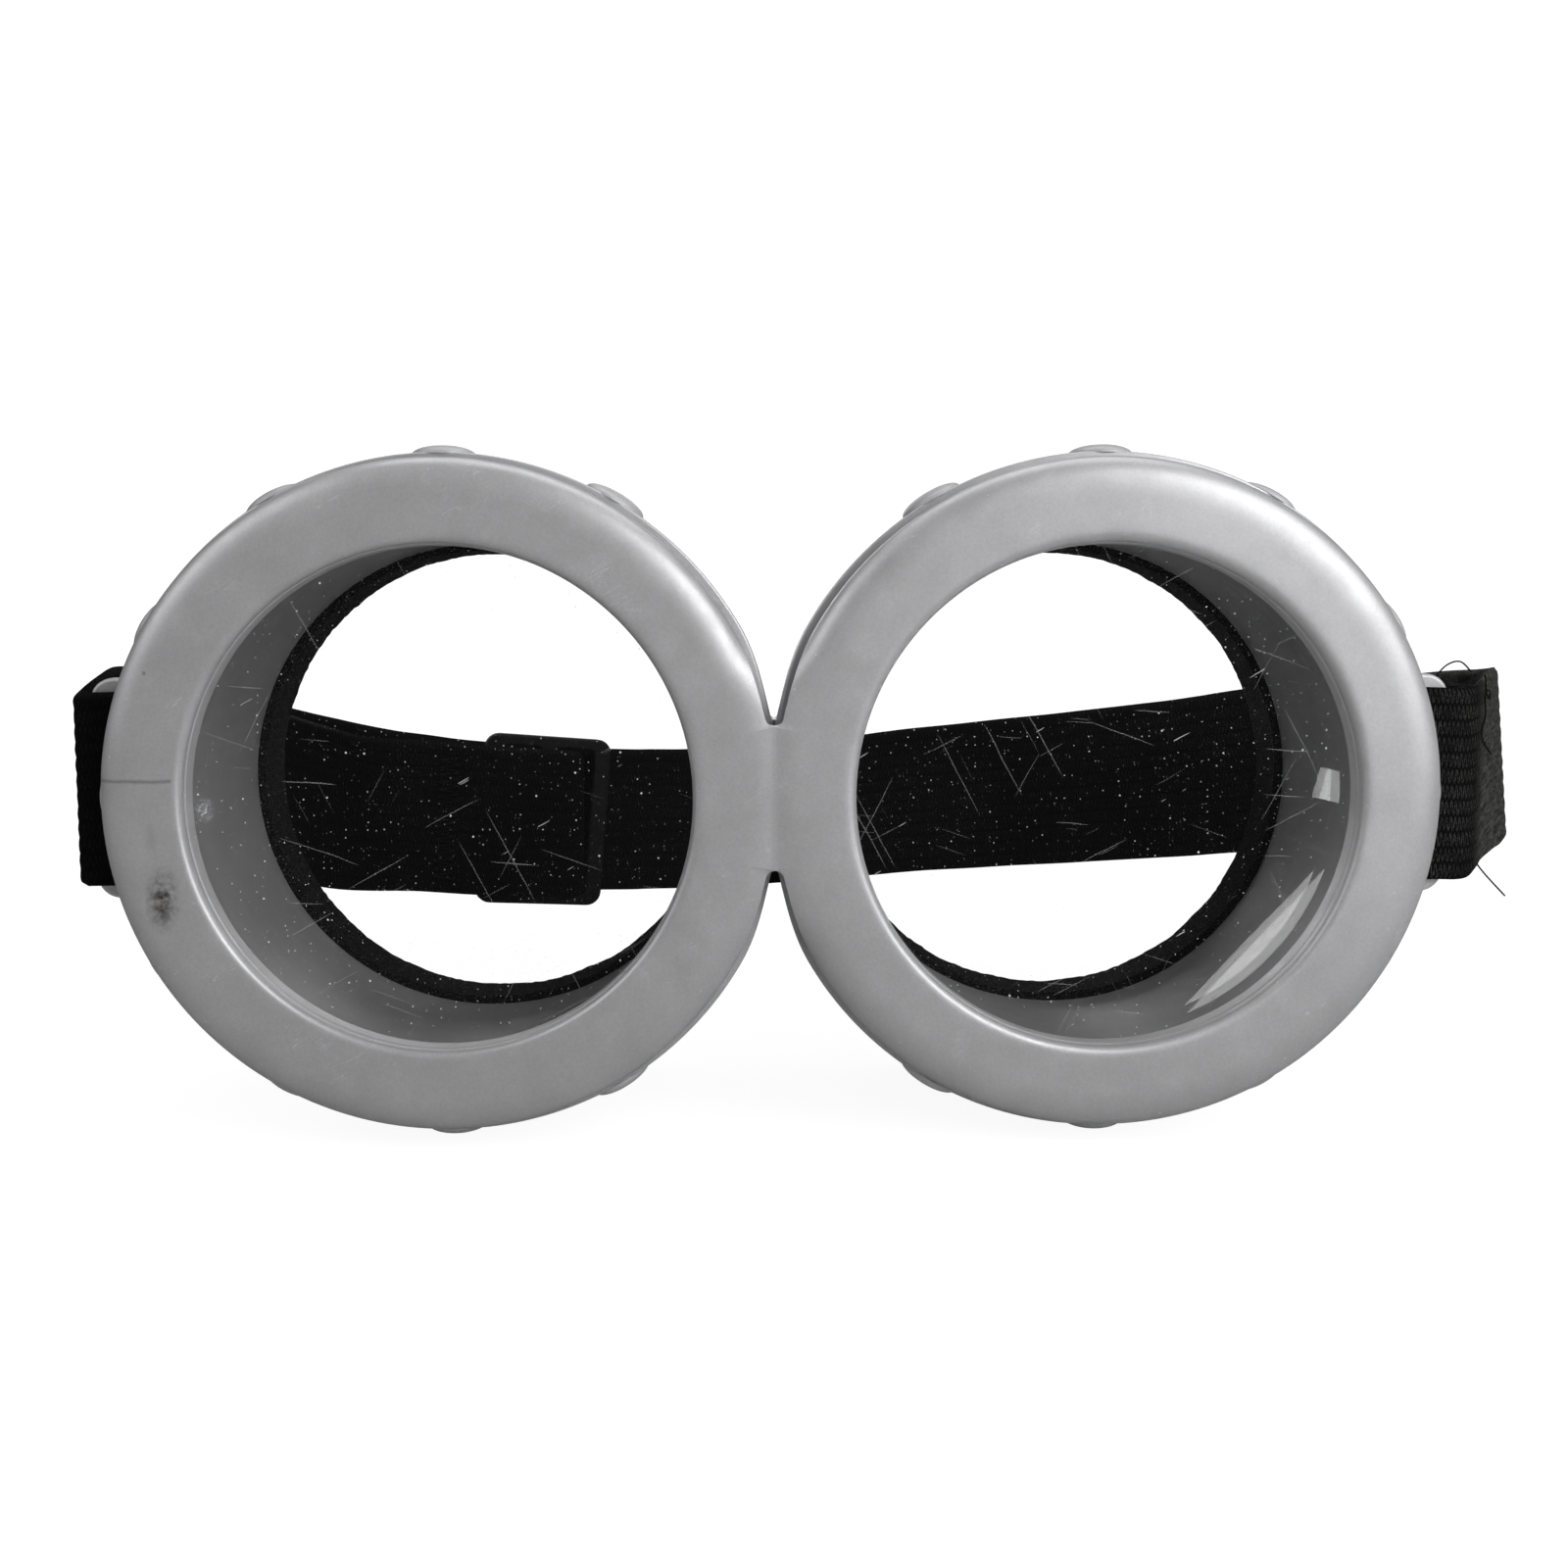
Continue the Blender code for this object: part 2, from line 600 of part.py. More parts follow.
def build_strap(material, thread):
    """The webbing behind the lugs, all of it hung from one line through both lug bars."""
    tilt_line = bpy.data.objects.new("strap_tilt_line", None)
    bpy.context.scene.collection.objects.link(tilt_line)
    tilt_line.location = place(0, TILT_D)
    inside = tilt_cylinder("strap_end_shape", STRAP_START)
    band_route = smooth_route(in_metres(BAND_ROUTE))
    centre, along = slider_place(band_route)
    sewn = resample(sewn_end_route(centre, along))
    tail = smooth_route(in_metres(TAIL_ROUTE) + seam_part(band_route)[::2])
    returning = smooth_route(in_metres(RETURN_ROUTE) + [tuple(Vector(sewn[0]) + along * GAP)])
    for name, route, last in (("strap_band", band_route, None), ("strap_tail", tail, None),
                              ("strap_return", returning, -along)):
        piece = add_object(name, strap_mesh(name, route, last=last), material)
        piece.parent = tilt_line
        boolean(piece, inside, "DIFFERENCE")
    loop_mesh = strap_mesh("slider_loop", sewn, edge=section_axes(along)[1])
    add_object("slider_loop", loop_mesh, material).parent = tilt_line
    build_tacks(thread, tilt_line, tail, sewn)
    return tilt_line, centre, along


def build_tacks(material, tilt_line, tail, sewn):
    """Bar tacks: raised rows of thread on the outermost layer of each sewn end."""
    places = (("bar_tack_right", tail[-3], tail[-2]), ("bar_tack_slider", sewn[3], sewn[4]))
    for name, start, end in places:
        start, end = Vector(start), Vector(end)
        along = (end - start).normalized()
        normal = section_axes(along)[0]
        lift = STRAP_THICKNESS / 2 + TACK_LIFT + TACK_THICKNESS / 2
        middle = start - normal * lift
        route = [tuple(middle + along * (s * TACK_LENGTH / 2)) for s in (-1, 1)]
        mesh = strap_mesh(name, route, width=TACK_HEIGHT, thickness=TACK_THICKNESS)
        add_object(name, mesh, material).parent = tilt_line


def build_slider(material, tilt_line, centre, along):
    def to_point(u, v, w):
        return slider_point(centre, along, u, w, v) - Vector((0, TILT_D, 0))
    half = SLIDER_LENGTH / 2
    outline = rounded_rectangle(-half, half, -SLIDER_HEIGHT / 2, SLIDER_HEIGHT / 2,
                                SLIDER_CORNER_R)
    thickness = SLIDER_THICKNESS / 2
    frame = add_object("slider_buckle", prism("slider_buckle", outline, -thickness, thickness,
                                              to_point), material)
    frame.parent = tilt_line
    slot_height = SLIDER_HEIGHT / 2 - SLIDER_RAIL
    for sign, word in ((-1, "near"), (1, "far")):
        low, high = sorted((sign * SLIDER_CENTRE_BAR / 2, sign * (half - SLIDER_BAR)))
        slot_outline = rounded_rectangle(low, high, -slot_height, slot_height, SLOT_CORNER_R,
                                         steps=2)
        slot = add_object(f"slider_slot_{word}", prism("slot", slot_outline, -2 * thickness,
                                                       2 * thickness, to_point), None, False)
        slot.parent = tilt_line
        hide_cutter(slot)
        boolean(frame, slot, "DIFFERENCE")


def main():
    clear_scene()
    ring_grey = make_material("ring_grey", (0.35, 0.35, 0.36), 0.38)
    shell_grey = make_material("shell_grey", (0.30, 0.30, 0.31), 0.42)
    rivet_grey = make_material("rivet_grey", (0.40, 0.40, 0.41), 0.35)
    lug_grey = make_material("lug_grey", (0.42, 0.42, 0.42), 0.40)
    clear = make_material("clear_lens", (0.92, 0.94, 0.95), 0.05, alpha=0.25)
    snap_grey = make_material("snap_ring_grey", (0.25, 0.25, 0.26), 0.45)
    foam = make_material("black_foam", (0.012, 0.012, 0.012), 0.95)
    webbing = make_material("black_webbing", (0.010, 0.010, 0.011), 0.90)
    thread = make_material("black_thread", (0.015, 0.015, 0.016), 0.70)
    black_plastic = make_material("black_plastic", (0.015, 0.015, 0.015), 0.40)
    build_front_frame(ring_grey)
    build_back_shell(shell_grey)
    build_rivets(rivet_grey)
    build_lenses(clear)
    build_snap_rings(snap_grey)
    build_foam_seals(foam)
    build_lugs(lug_grey)
    build_strap_loops(webbing)
    tilt_line, centre, along = build_strap(webbing, thread)
    build_slider(black_plastic, tilt_line, centre, along)


main()
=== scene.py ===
"""Looks of the round twin-cup goggles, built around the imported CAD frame.

Metres, +Z up, the lenses face -Y. Places are given as in the CAD: across from the nose
line (x), behind the foremost face (d) and above the cup axes (z).
"""
import json
import math

import bpy
import bmesh
from mathutils import Matrix, Vector, noise


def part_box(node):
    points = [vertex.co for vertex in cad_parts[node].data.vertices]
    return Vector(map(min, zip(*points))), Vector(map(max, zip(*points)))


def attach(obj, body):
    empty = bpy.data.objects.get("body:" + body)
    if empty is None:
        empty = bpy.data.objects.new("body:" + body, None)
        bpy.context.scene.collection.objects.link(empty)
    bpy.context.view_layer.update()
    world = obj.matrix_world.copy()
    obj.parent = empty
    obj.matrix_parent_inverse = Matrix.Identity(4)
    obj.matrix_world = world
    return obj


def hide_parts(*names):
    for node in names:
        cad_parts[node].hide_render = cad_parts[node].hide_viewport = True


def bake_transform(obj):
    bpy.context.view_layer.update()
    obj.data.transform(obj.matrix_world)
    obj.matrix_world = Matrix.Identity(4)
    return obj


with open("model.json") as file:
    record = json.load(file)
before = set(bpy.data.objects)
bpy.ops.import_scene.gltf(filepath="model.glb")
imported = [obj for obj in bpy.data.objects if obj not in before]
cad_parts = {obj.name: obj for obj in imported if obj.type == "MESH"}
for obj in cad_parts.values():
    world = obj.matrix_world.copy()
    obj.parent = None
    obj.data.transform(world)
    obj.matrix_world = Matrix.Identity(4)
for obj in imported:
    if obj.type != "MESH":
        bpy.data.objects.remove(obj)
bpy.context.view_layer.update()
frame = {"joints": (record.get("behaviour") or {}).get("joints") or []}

MM = 0.001
SIDES = ((-1, "left"), (1, "right"))


def middle_of(node):
    low, high = (Vector(corner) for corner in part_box(node))
    return (low + high) / 2


LENS_LEFT, LENS_RIGHT = middle_of("lens_left"), middle_of("lens_right")
NOSE_X = (LENS_LEFT.x + LENS_RIGHT.x) / 2
AXIS_Z = LENS_LEFT.z
FRONT_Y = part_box("front_frame")[0][1]
HALF_SPACING = (LENS_RIGHT.x - LENS_LEFT.x) / 2

# Front frame, as in the CAD
RING_OUTER_R = 40.0 * MM
RING_NOSE_R = 39.55 * MM        # the rim is a little tighter beside the nose
RING_HOLE_R = 29.95 * MM
RING_ROUND = 2.6 * MM
RING_POWER = 2.6                # of the rounding toward the rim
RING_HOLE_ROUND = 1.2 * MM      # toward the hole it is shallower and tighter
RING_HOLE_POWER = 14.0
HOLE_LEDGE = 0.14 * MM          # a small step just inside the hole
RING_WALL_D = 3.7 * MM
RING_BACK_D = 4.6 * MM
RING_UNDERCUT = 0.2 * MM
NOTCH_FILLET = 1.1 * MM
CREASE_SHARE = 0.58             # how far down its rounding the face runs at the nose line
CREASE_SOFT = 0.6 * MM
CREASE_FADE_DEG = 15            # beyond the notch the rim takes its full rounding again
LENS_SEAT_R = 32.8 * MM
LENS_SEAT_D = 3.9 * MM
FACE_STEPS = 28

# Back shell
FLANGE_R = 40.9 * MM
FLANGE_NOSE_R = 40.2 * MM
FLANGE_FILLET = 0.45 * MM
SHELL_FRONT_D = 4.9 * MM
FLANGE_BACK_D = 14.2 * MM
FLANGE_ROUND = 1.2 * MM
CHANNEL_BACK_D = 12.2 * MM
CHANNEL_OUTER_R = 38.9 * MM
TUBE_INNER_FRONT_R = 33.2 * MM
TUBE_INNER_BACK_R = 32.5 * MM
TUBE_WALL = 1.8 * MM
RIM_D = 35.5 * MM
RIM_ROUND = 0.55 * MM
NOSE_CUT = 6.5 * MM
NOSE_BLEND_DEG = 16

# Rivets, lenses, lugs and foam
RIVET_COUNT = 9
RIVET_STEP_DEG = 30
RIVET_D = 8.6 * MM
RIVET_SEGMENTS = 36
LENS_SEGMENTS = 160
LUG_FRONT_D, LUG_BACK_D = 18.0 * MM, 21.0 * MM
FOAM_INNER_R = 31.3 * MM
FOAM_OUTER_R = 34.6 * MM
FOAM_BACK_D = 44.1 * MM
FOAM_SEGMENTS = 300
NOISE_SEED = 7                  # keeps the foam's ragged edges the same in every run

# Strap
STRAP_WIDTH = 24.6 * MM
STRAP_THICKNESS = 1.4 * MM
STRAP_RIBS = 12
RIB_STEPS = 4
SECTION_STEP = 0.75 * MM
ROUTE_STEPS = 16                # in which a route's stretches are rounded
SEAM_EVERY = 6                  # of those steps, for the layer sewn on at the right
LAYER_PITCH = 1.7 * MM
UPRIGHT_TO_D = 24.0 * MM        # the folds at the lugs stand upright, then the strap follows
FREE_FROM_D = 38.0 * MM         # its slope
FOLD_LEAN = 0.09                # the outer fold on the right leans out at the bottom
FOLD_LEAN_X = (94.0 * MM, 8.0 * MM)     # where the lean starts and how fast it grows
WAVE_LENGTH, WAVE_HEIGHT = 9.0, 0.25 * MM   # mm; gentle waves along the webbing
EDGE_LOOP = 0.10 * MM           # the knit's edge loops in and out
ROUGH_PER_MM, ROUGH_HEIGHT = 1.3, 0.05 * MM
STITCH_PITCH = 0.62             # mm between the knit's stitches
# the greyer sewn end is partly faded knit, partly painted light on the outer fold
GREY_END = 86.0                # mm of the sewn end that have gone grey
# painted shade: past this the knit's painted sheen fades and the strap goes darker
FLECK_SHADE_END = 250.0             # mm from the sewn end over which the knit's flecks thin out
SLIDER_LIFT = 0.25 * MM         # how far up the webbing sits in the slider
SLIDER_PINCH = 0.03             # share of its width that the slider's slots take
NEAR_LAYER, FAR_LAYER = 2.0, 3.7    # mm from the slider's middle plane toward the cups
TACK_S = 17.0 * MM              # from the slider's middle to its bar tack
TACK_LENGTH, TACK_HEIGHT, TACK_TURNS = 3.0 * MM, 20.0 * MM, 34
STITCH_R, LOOSE_THREAD_R = 0.13 * MM, 0.11 * MM

LENS_MIRROR = 0.02              # share of light mirrored head on
# Marks on the lenses: scratches as (direction, cells per mm along and across, share of
# cells, strength) and dust as (cells per mm, share, size, strength)
LENS_SCRATCHES = [
    (20, 0.07, 5.0, 0.018, 0.10), (-28, 0.09, 5.5, 0.014, 0.12), (62, 0.06, 5.0, 0.014, 0.09),
    (118, 0.08, 6.0, 0.012, 0.10), (4, 0.12, 5.0, 0.012, 0.14), (150, 0.35, 4.0, 0.005, 0.30),
]
LENS_DUST = [(0.40, 0.24, 0.055, 0.60), (1.1, 0.24, 0.11, 0.38), (2.3, 0.10, 0.18, 0.18)]
# Marks on the left cup, in mm from its axis: (x, d, z), radius and squeeze along each axis
SMUDGE = (-32.3, 1.0, -11.6), 3.6, (1.5, 1, 0.8)
SMUDGE_CORE = (-32.0, 1.0, -12.5), 1.5, (1, 1, 1)
RIM_SCUFF = (-33.4, 1.0, -4.4), 2.2, (2.2, 1, 0.8)
LENS_SCUFF = (-28.6, LENS_SEAT_D / MM, -1.4), 1.7, (1.3, 0.2, 1.0)
WELD_LINE_Z, WELD_LINE_HALF = 2.4 * MM, 0.34 * MM

# Routes of the strap's middle line, as (x, d, z) in millimetres, as in the CAD
TAIL_ROUTE = [
    (72.2, 58.3, -1.5), (75.0, 57.7, -1.0), (81.0, 57.4, -0.4), (91.0, 57.2, 0.6),
    (100.5, 53.5, 1.3), (105.2, 47.5, 1.9), (105.0, 41.5, 2.3), (101.6, 35.0, 2.4),
    (98.3, 29.4, 2.3), (94.0, 23.0, 1.4), (90.2, 18.2, 0.1), (86.0, 16.7, 0.0),
    (82.0, 16.9, 0.0), (80.8, 18.0, 0.0), (80.8, 21.0, 0.2),
]
BAND_ROUTE = [
    (80.3, 27.0, 2.1), (79.3, 38.0, 2.0), (76.9, 47.5, 0.5), (71.5, 55.5, -1.4),
    (61.0, 64.0, -3.4), (46.0, 73.8, -5.6), (30.0, 83.0, -7.8), (16.0, 89.6, -9.7),
    (3.0, 93.0, -11.4), (-10.0, 93.1, -12.1), (-24.0, 89.9, -12.1), (-42.0, 83.4, -11.0),
    (-62.0, 75.8, -8.2), (-74.0, 69.6, -5.2), (-82.8, 60.5, -1.9), (-87.2, 48.5, 1.1),
    (-88.5, 36.0, 2.9),
]
LOOP_LEFT_ROUTE = [
    (-88.6, 29.0, 3.0), (-88.6, 22.0, 1.6), (-88.6, 18.1, 0.1), (-87.2, 16.8, 0.0),
    (-82.0, 16.9, 0.0), (-80.8, 18.0, 0.0), (-80.8, 21.0, 0.2), (-80.3, 27.0, 2.4),
    (-79.3, 38.0, 1.4), (-77.2, 47.5, -1.8),
]
RETURN_ROUTE = [(-77.2, 47.5, -1.8), (-73.6, 57.0, -5.0), (-70.2, 62.8, -7.0)]
SEAM_FROM_X, SEAM_TO_X = 68.0 * MM, 57.0 * MM
LOOSE_THREADS = {
    "loose_thread_top": [(85.4, 19.0, 13.2), (87.2, 19.0, 15.2), (89.2, 19.4, 15.7),
                         (91.4, 21.0, 14.4)],
    "loose_thread_curl": [(93.0, 20.4, 14.0), (93.5, 20.8, 11.6), (94.2, 21.4, 10.8),
                          (94.0, 21.2, 11.9), (93.1, 20.4, 11.2), (93.4, 20.7, 8.6),
                          (92.4, 19.5, 6.0), (95.2, 22.6, 3.4)],
    "loose_thread_bottom": [(92.6, 20.6, -10.6), (94.0, 20.4, -12.4), (96.6, 20.2, -15.2)],
}

# Camera: focal length and sensor width in mm, place, and turns in degrees
LENS_LENGTH, SENSOR_WIDTH = 35.17, 36.0
CAMERA_PLACE = (-1.41 * MM, -178.84 * MM, 17.25 * MM)
CAMERA_PAN, CAMERA_TIP, CAMERA_ROLL = -0.80, 90 - 4.935, -0.183

# Studio: soft light from the upper right, weaker from the upper left, above and behind
AMBIENT = 0.068
WHITE = 1.15                    # the backdrop, a little over white, also seen through the lenses
SOFT_LIGHTS = [
    ("key_right", (0.36, -0.38, 0.31), (0.42, 0.42), 2.4),
    ("fill_left", (-0.45, -0.22, 0.34), (0.30, 0.40), 0.7),
    ("top_soft", (0.0, 0.06, 0.50), (0.50, 0.30), 0.9),
    ("rear_soft", (-0.10, 0.55, 0.22), (0.50, 0.30), 1.2),
]
# A weak light near the right-hand rim; nothing mirrors it
FRONT_LIGHT = ("front_right", (0.20, -0.44, 0.12), (0.25, 0.25), 0.6)
# Cards that show only as reflections in the lenses: (x, z), (width, height), turn
CARD_D = -43.0 * MM
CARD_RADIANCE = 10.0
CARDS = [((81.1, -44.1), (52.0, 34.0), 47.0), ((88.0, -4.0), (9.0, 4.6), -14.0)]
FLOOR_R, FLOOR_GAP = 4.0, 0.4 * MM


# ---- helpers

def place(x, d, z=0.0):
    return Vector((NOSE_X + x, FRONT_Y + d, AXIS_Z + z))


def smoothstep(t):
    t = min(max(t, 0.0), 1.0)
    return t * t * (3 - 2 * t)


def finish_mesh(name, bm, material, sharp_deg=40):
    bmesh.ops.recalc_face_normals(bm, faces=bm.faces)
    mesh = bpy.data.meshes.new(name)
    bm.to_mesh(mesh)
    bm.free()
    mesh.shade_smooth()
    mesh.set_sharp_from_angle(angle=math.radians(sharp_deg))
    mesh.materials.append(material)
    obj = bpy.data.objects.new(name, mesh)
    bpy.context.scene.collection.objects.link(obj)
    return obj


def skin(bm, rows, closed_rows=True):
    """Quads between rows of vertices; rows are the turns and each row is a closed profile."""
    count = len(rows[0])
    for i in range(len(rows) if closed_rows else len(rows) - 1):
        one, two = rows[i], rows[(i + 1) % len(rows)]
        for j in range(count):
            k = (j + 1) % count
            bm.faces.new((one[j], one[k], two[k], two[j]))


def disc_of(bm, profile, matrix, segments):
    """Turn an open (r, h) profile, whose ends lie on the axis, about the matrix's Z axis."""
    rings = []
    for r, h in profile:
        angles = [math.tau * step / segments for step in range(segments if r else 1)]
        rings.append([bm.verts.new(matrix @ Vector((r * math.cos(a), r * math.sin(a), h)))
                      for a in angles])
    for low, high in zip(rings, rings[1:]):
        for step in range(segments):
            nxt = (step + 1) % segments
            corners = [low[step % len(low)], low[nxt % len(low)],
                       high[nxt % len(high)], high[step % len(high)]]
            bm.faces.new(list(dict.fromkeys(corners)))


def arc_points(centre, radius, start_deg, end_deg, steps):
    angles = [math.radians(start_deg + (end_deg - start_deg) * step / steps)
              for step in range(steps + 1)]
    return [(centre[0] + radius * math.cos(a), centre[1] + radius * math.sin(a)) for a in angles]


# ---- materials

class Shader:
    """A material's node tree, with short calls for the nodes used here."""

    def __init__(self, name):
        self.material = bpy.data.materials.new(name)
        self.material.use_nodes = True
        self.tree = self.material.node_tree
        self.surface = self.tree.nodes["Principled BSDF"]
        self.coords = self.node("ShaderNodeTexCoord").outputs["Object"]

    def node(self, kind, inputs=None, **settings):
        """Add a node; inputs maps sockets to values or to other nodes' sockets."""
        made = self.tree.nodes.new(kind)
        for key, value in settings.items():
            setattr(made, key, value)
        for key, value in (inputs or {}).items():
            self.link(value, made.inputs[key])
        return made

    def link(self, value, socket):
        if isinstance(value, bpy.types.NodeSocket):
            self.tree.links.new(value, socket)
        else:
            socket.default_value = value

    def math(self, operation, a, b=0.0, c=0.0, clamp=False):
        return self.node("ShaderNodeMath", {0: a, 1: b, 2: c}, operation=operation,
                         use_clamp=clamp).outputs[0]

    def times(self, a, b, clamp=False):
        return self.math("MULTIPLY", a, b, clamp=clamp)

    def minus(self, a, b, clamp=False):
        return self.math("SUBTRACT", a, b, clamp=clamp)

    def vector(self, operation, *values):
        return self.node("ShaderNodeVectorMath", dict(enumerate(values)),
                         operation=operation).outputs

    def separate(self, vector):
        return self.node("ShaderNodeSeparateXYZ", {0: vector}).outputs

    def scaled(self, scale, rotation=(0, 0, 0), vector=None):
        """Coordinates turned by rotation, then in units of 1/scale metres."""
        turn = self.node("ShaderNodeVectorRotate", {
            "Vector": vector or self.coords, "Rotation": rotation}, rotation_type="EULER_XYZ")
        return self.vector("MULTIPLY", turn.outputs[0], scale)[0]

    def noise(self, per_mm, detail=2.0, roughness=0.5, distortion=0.0, vector=None):
        return self.node("ShaderNodeTexNoise", {
            "Vector": vector or self.coords, "Scale": per_mm if vector else per_mm / MM,
            "Detail": detail, "Roughness": roughness, "Distortion": distortion}).outputs["Fac"]

    def ramp(self, value, stops):
        """Grey ramp through (position, level) stops."""
        ramp = self.node("ShaderNodeValToRGB", {"Fac": value})
        for element, (position, level) in zip(ramp.color_ramp.elements, stops):
            element.position = position
            element.color = (level, level, level, 1.0)
        return ramp.outputs["Color"]

    def mix(self, share, a, b, blend="MIX"):
        made = self.node("ShaderNodeMix", {0: share}, data_type="RGBA", blend_type=blend)
        for value, socket in ((a, made.inputs[6]), (b, made.inputs[7])):
            self.link((*value, 1.0) if isinstance(value, tuple) else value, socket)
        return made.outputs[2]

    def mix_shader(self, share, a, b):
        return self.node("ShaderNodeMixShader", {0: share, 1: a, 2: b}).outputs[0]

    def bump(self, height, distance, strength=1.0, normal=None):
        made = self.node("ShaderNodeBump", {
            "Strength": strength, "Distance": distance, "Height": height})
        if normal:
            self.link(normal, made.inputs["Normal"])
        return made.outputs["Normal"]

    def near(self, mark):
        """1 at a mark's centre, falling to 0 a radius away."""
        (x, d, z), radius, squeeze = mark
        point = place(-HALF_SPACING + x * MM, d * MM, z * MM)
        offset = self.vector("SUBTRACT", self.coords, point)[0]
        shrunk = self.vector("MULTIPLY", offset, [s / (radius * MM) for s in squeeze])[0]
        return self.minus(1.0, self.vector("LENGTH", shrunk)["Value"], clamp=True)

    def scratches(self, rotation, width, cover):
        """Long thin lines in one direction, broken up by a second texture."""
        along, across = 0.05 / MM, 0.9 / MM
        stretched = self.scaled((along, across, across), rotation)
        lines = self.noise(1.0, 1.0, 0.4, 0.3, stretched)
        near = self.math("ABSOLUTE", self.minus(lines, 0.5))
        thin = self.math("LESS_THAN", near, width)
        there = self.math("GREATER_THAN", self.noise(0.22, 2.0, 0.6), cover)
        return self.times(thin, there)

    def specks(self, per_mm, share, size):
        """Round specks in a share of the cells of a Voronoi pattern."""
        cells = self.node("ShaderNodeTexVoronoi", {"Vector": self.coords, "Scale": per_mm / MM})
        chance = self.separate(cells.outputs["Color"])
        picked = self.math("LESS_THAN", chance[0], share)
        reach_out = self.times(chance[1], size)
        return self.times(picked, self.math("LESS_THAN", cells.outputs["Distance"], reach_out))

    def flat_specks(self, coords, share, size):
        """Specks of random size in a share of the unit cells of a flat pattern."""
        cells = self.node("ShaderNodeTexVoronoi", {"Vector": coords, "Scale": 1.0},
                          voronoi_dimensions="2D")
        chance = self.separate(cells.outputs["Color"])
        picked = self.math("LESS_THAN", chance[0], share)
        inside = self.minus(self.times(chance[1], size), cells.outputs["Distance"])
        return self.times(picked, self.times(inside, 12.0 / size, clamp=True))

    def shade(self, shader):
        self.link(shader, self.tree.nodes["Material Output"].inputs["Surface"])
        return self.material

    def set(self, **values):
        for key, value in values.items():
            self.link(value, self.surface.inputs[key.replace("_", " ")])
        return self.material


def satin_plastic(name, level, metallic=0.55, roughness=0.40, marks=None, grain=1.0):
    """Silvery moulded plastic: fine flake, soft blotches, scuffs and light scratches."""
    s = Shader(name)
    flake = s.ramp(s.noise(3.2, 3.0, 0.7), [(0.3, 0.92), (0.7, 1.06)])
    blotch = s.ramp(s.noise(0.11, 5.0, 0.65), [(0.3, 0.93), (0.7, 1.06)])
    tone = s.mix(1.0, flake, blotch, "MULTIPLY")
    base = s.mix(1.0, tone, (level, level, level * 1.02), "MULTIPLY")
    light = s.math("MAXIMUM", s.scratches((0.3, 0.5, 0.2), 0.0018, cover=0.60),
                   s.scratches((-0.4, 1.2, 0.7), 0.0016, cover=0.62))
    light = s.times(light, 0.35)
    base = s.mix(light, base, (0.85, 0.85, 0.86))
    dots = s.specks(0.8, 0.22, 0.13)
    base = s.mix(s.times(dots, 0.5), base, (0.9, 0.9, 0.9))
    grime = s.specks(0.22, 0.07, 0.09)
    base = s.mix(s.times(grime, 0.45), base, (0.12, 0.11, 0.10))
    if marks:
        base = marks(s, base)
    rough = s.ramp(s.noise(0.35, 4.0, 0.6), [(0.25, roughness - 0.05), (0.8, roughness + 0.07)])
    rough = s.math("ADD", s.times(flake, 0.04), rough)
    normal = s.bump(s.noise(0.9, 2.0, 0.5), 0.03 * MM, 0.35 * grain)
    normal = s.bump(s.noise(5.0, 2.0, 0.6), 0.010 * MM, 0.5 * grain, normal)
    normal = s.bump(light, -0.02 * MM, 1.0, normal)
    return s.set(Base_Color=base, Roughness=rough, Metallic=metallic, Normal=normal,
                 Specular_IOR_Level=0.5)


def frame_marks(s, base):
    """The weld line, the brown smudge and the scuff on the left rim."""
    x, _, z = s.separate(s.coords)
    left = place(-HALF_SPACING, 0)
    wander = s.times(s.minus(s.noise(0.2, 2.0), 0.5), 0.5 * MM)
    height = s.minus(s.math("ADD", z, wander), left.z + WELD_LINE_Z)
    line = s.math("DIVIDE", s.math("ABSOLUTE", height), WELD_LINE_HALF)
    line = s.minus(1.0, line, clamp=True)
    outward = s.math("LESS_THAN", x, left.x - RING_HOLE_R - 0.9 * MM)
    base = s.mix(s.times(s.times(line, outward), 0.55), base, (0.10, 0.10, 0.105))
    cloud = s.ramp(s.noise(0.9, 4.0, 0.7), [(0.35, 0.0), (0.62, 1.0)])
    smudge = s.times(s.near(SMUDGE), cloud)
    base = s.mix(s.times(smudge, 1.4, clamp=True), base, (0.05, 0.038, 0.03))
    core = s.times(s.near(SMUDGE_CORE), 1.1, clamp=True)
    base = s.mix(core, base, (0.06, 0.042, 0.03))
    return s.mix(s.times(s.near(RIM_SCUFF), 0.35), base, (0.16, 0.15, 0.145))


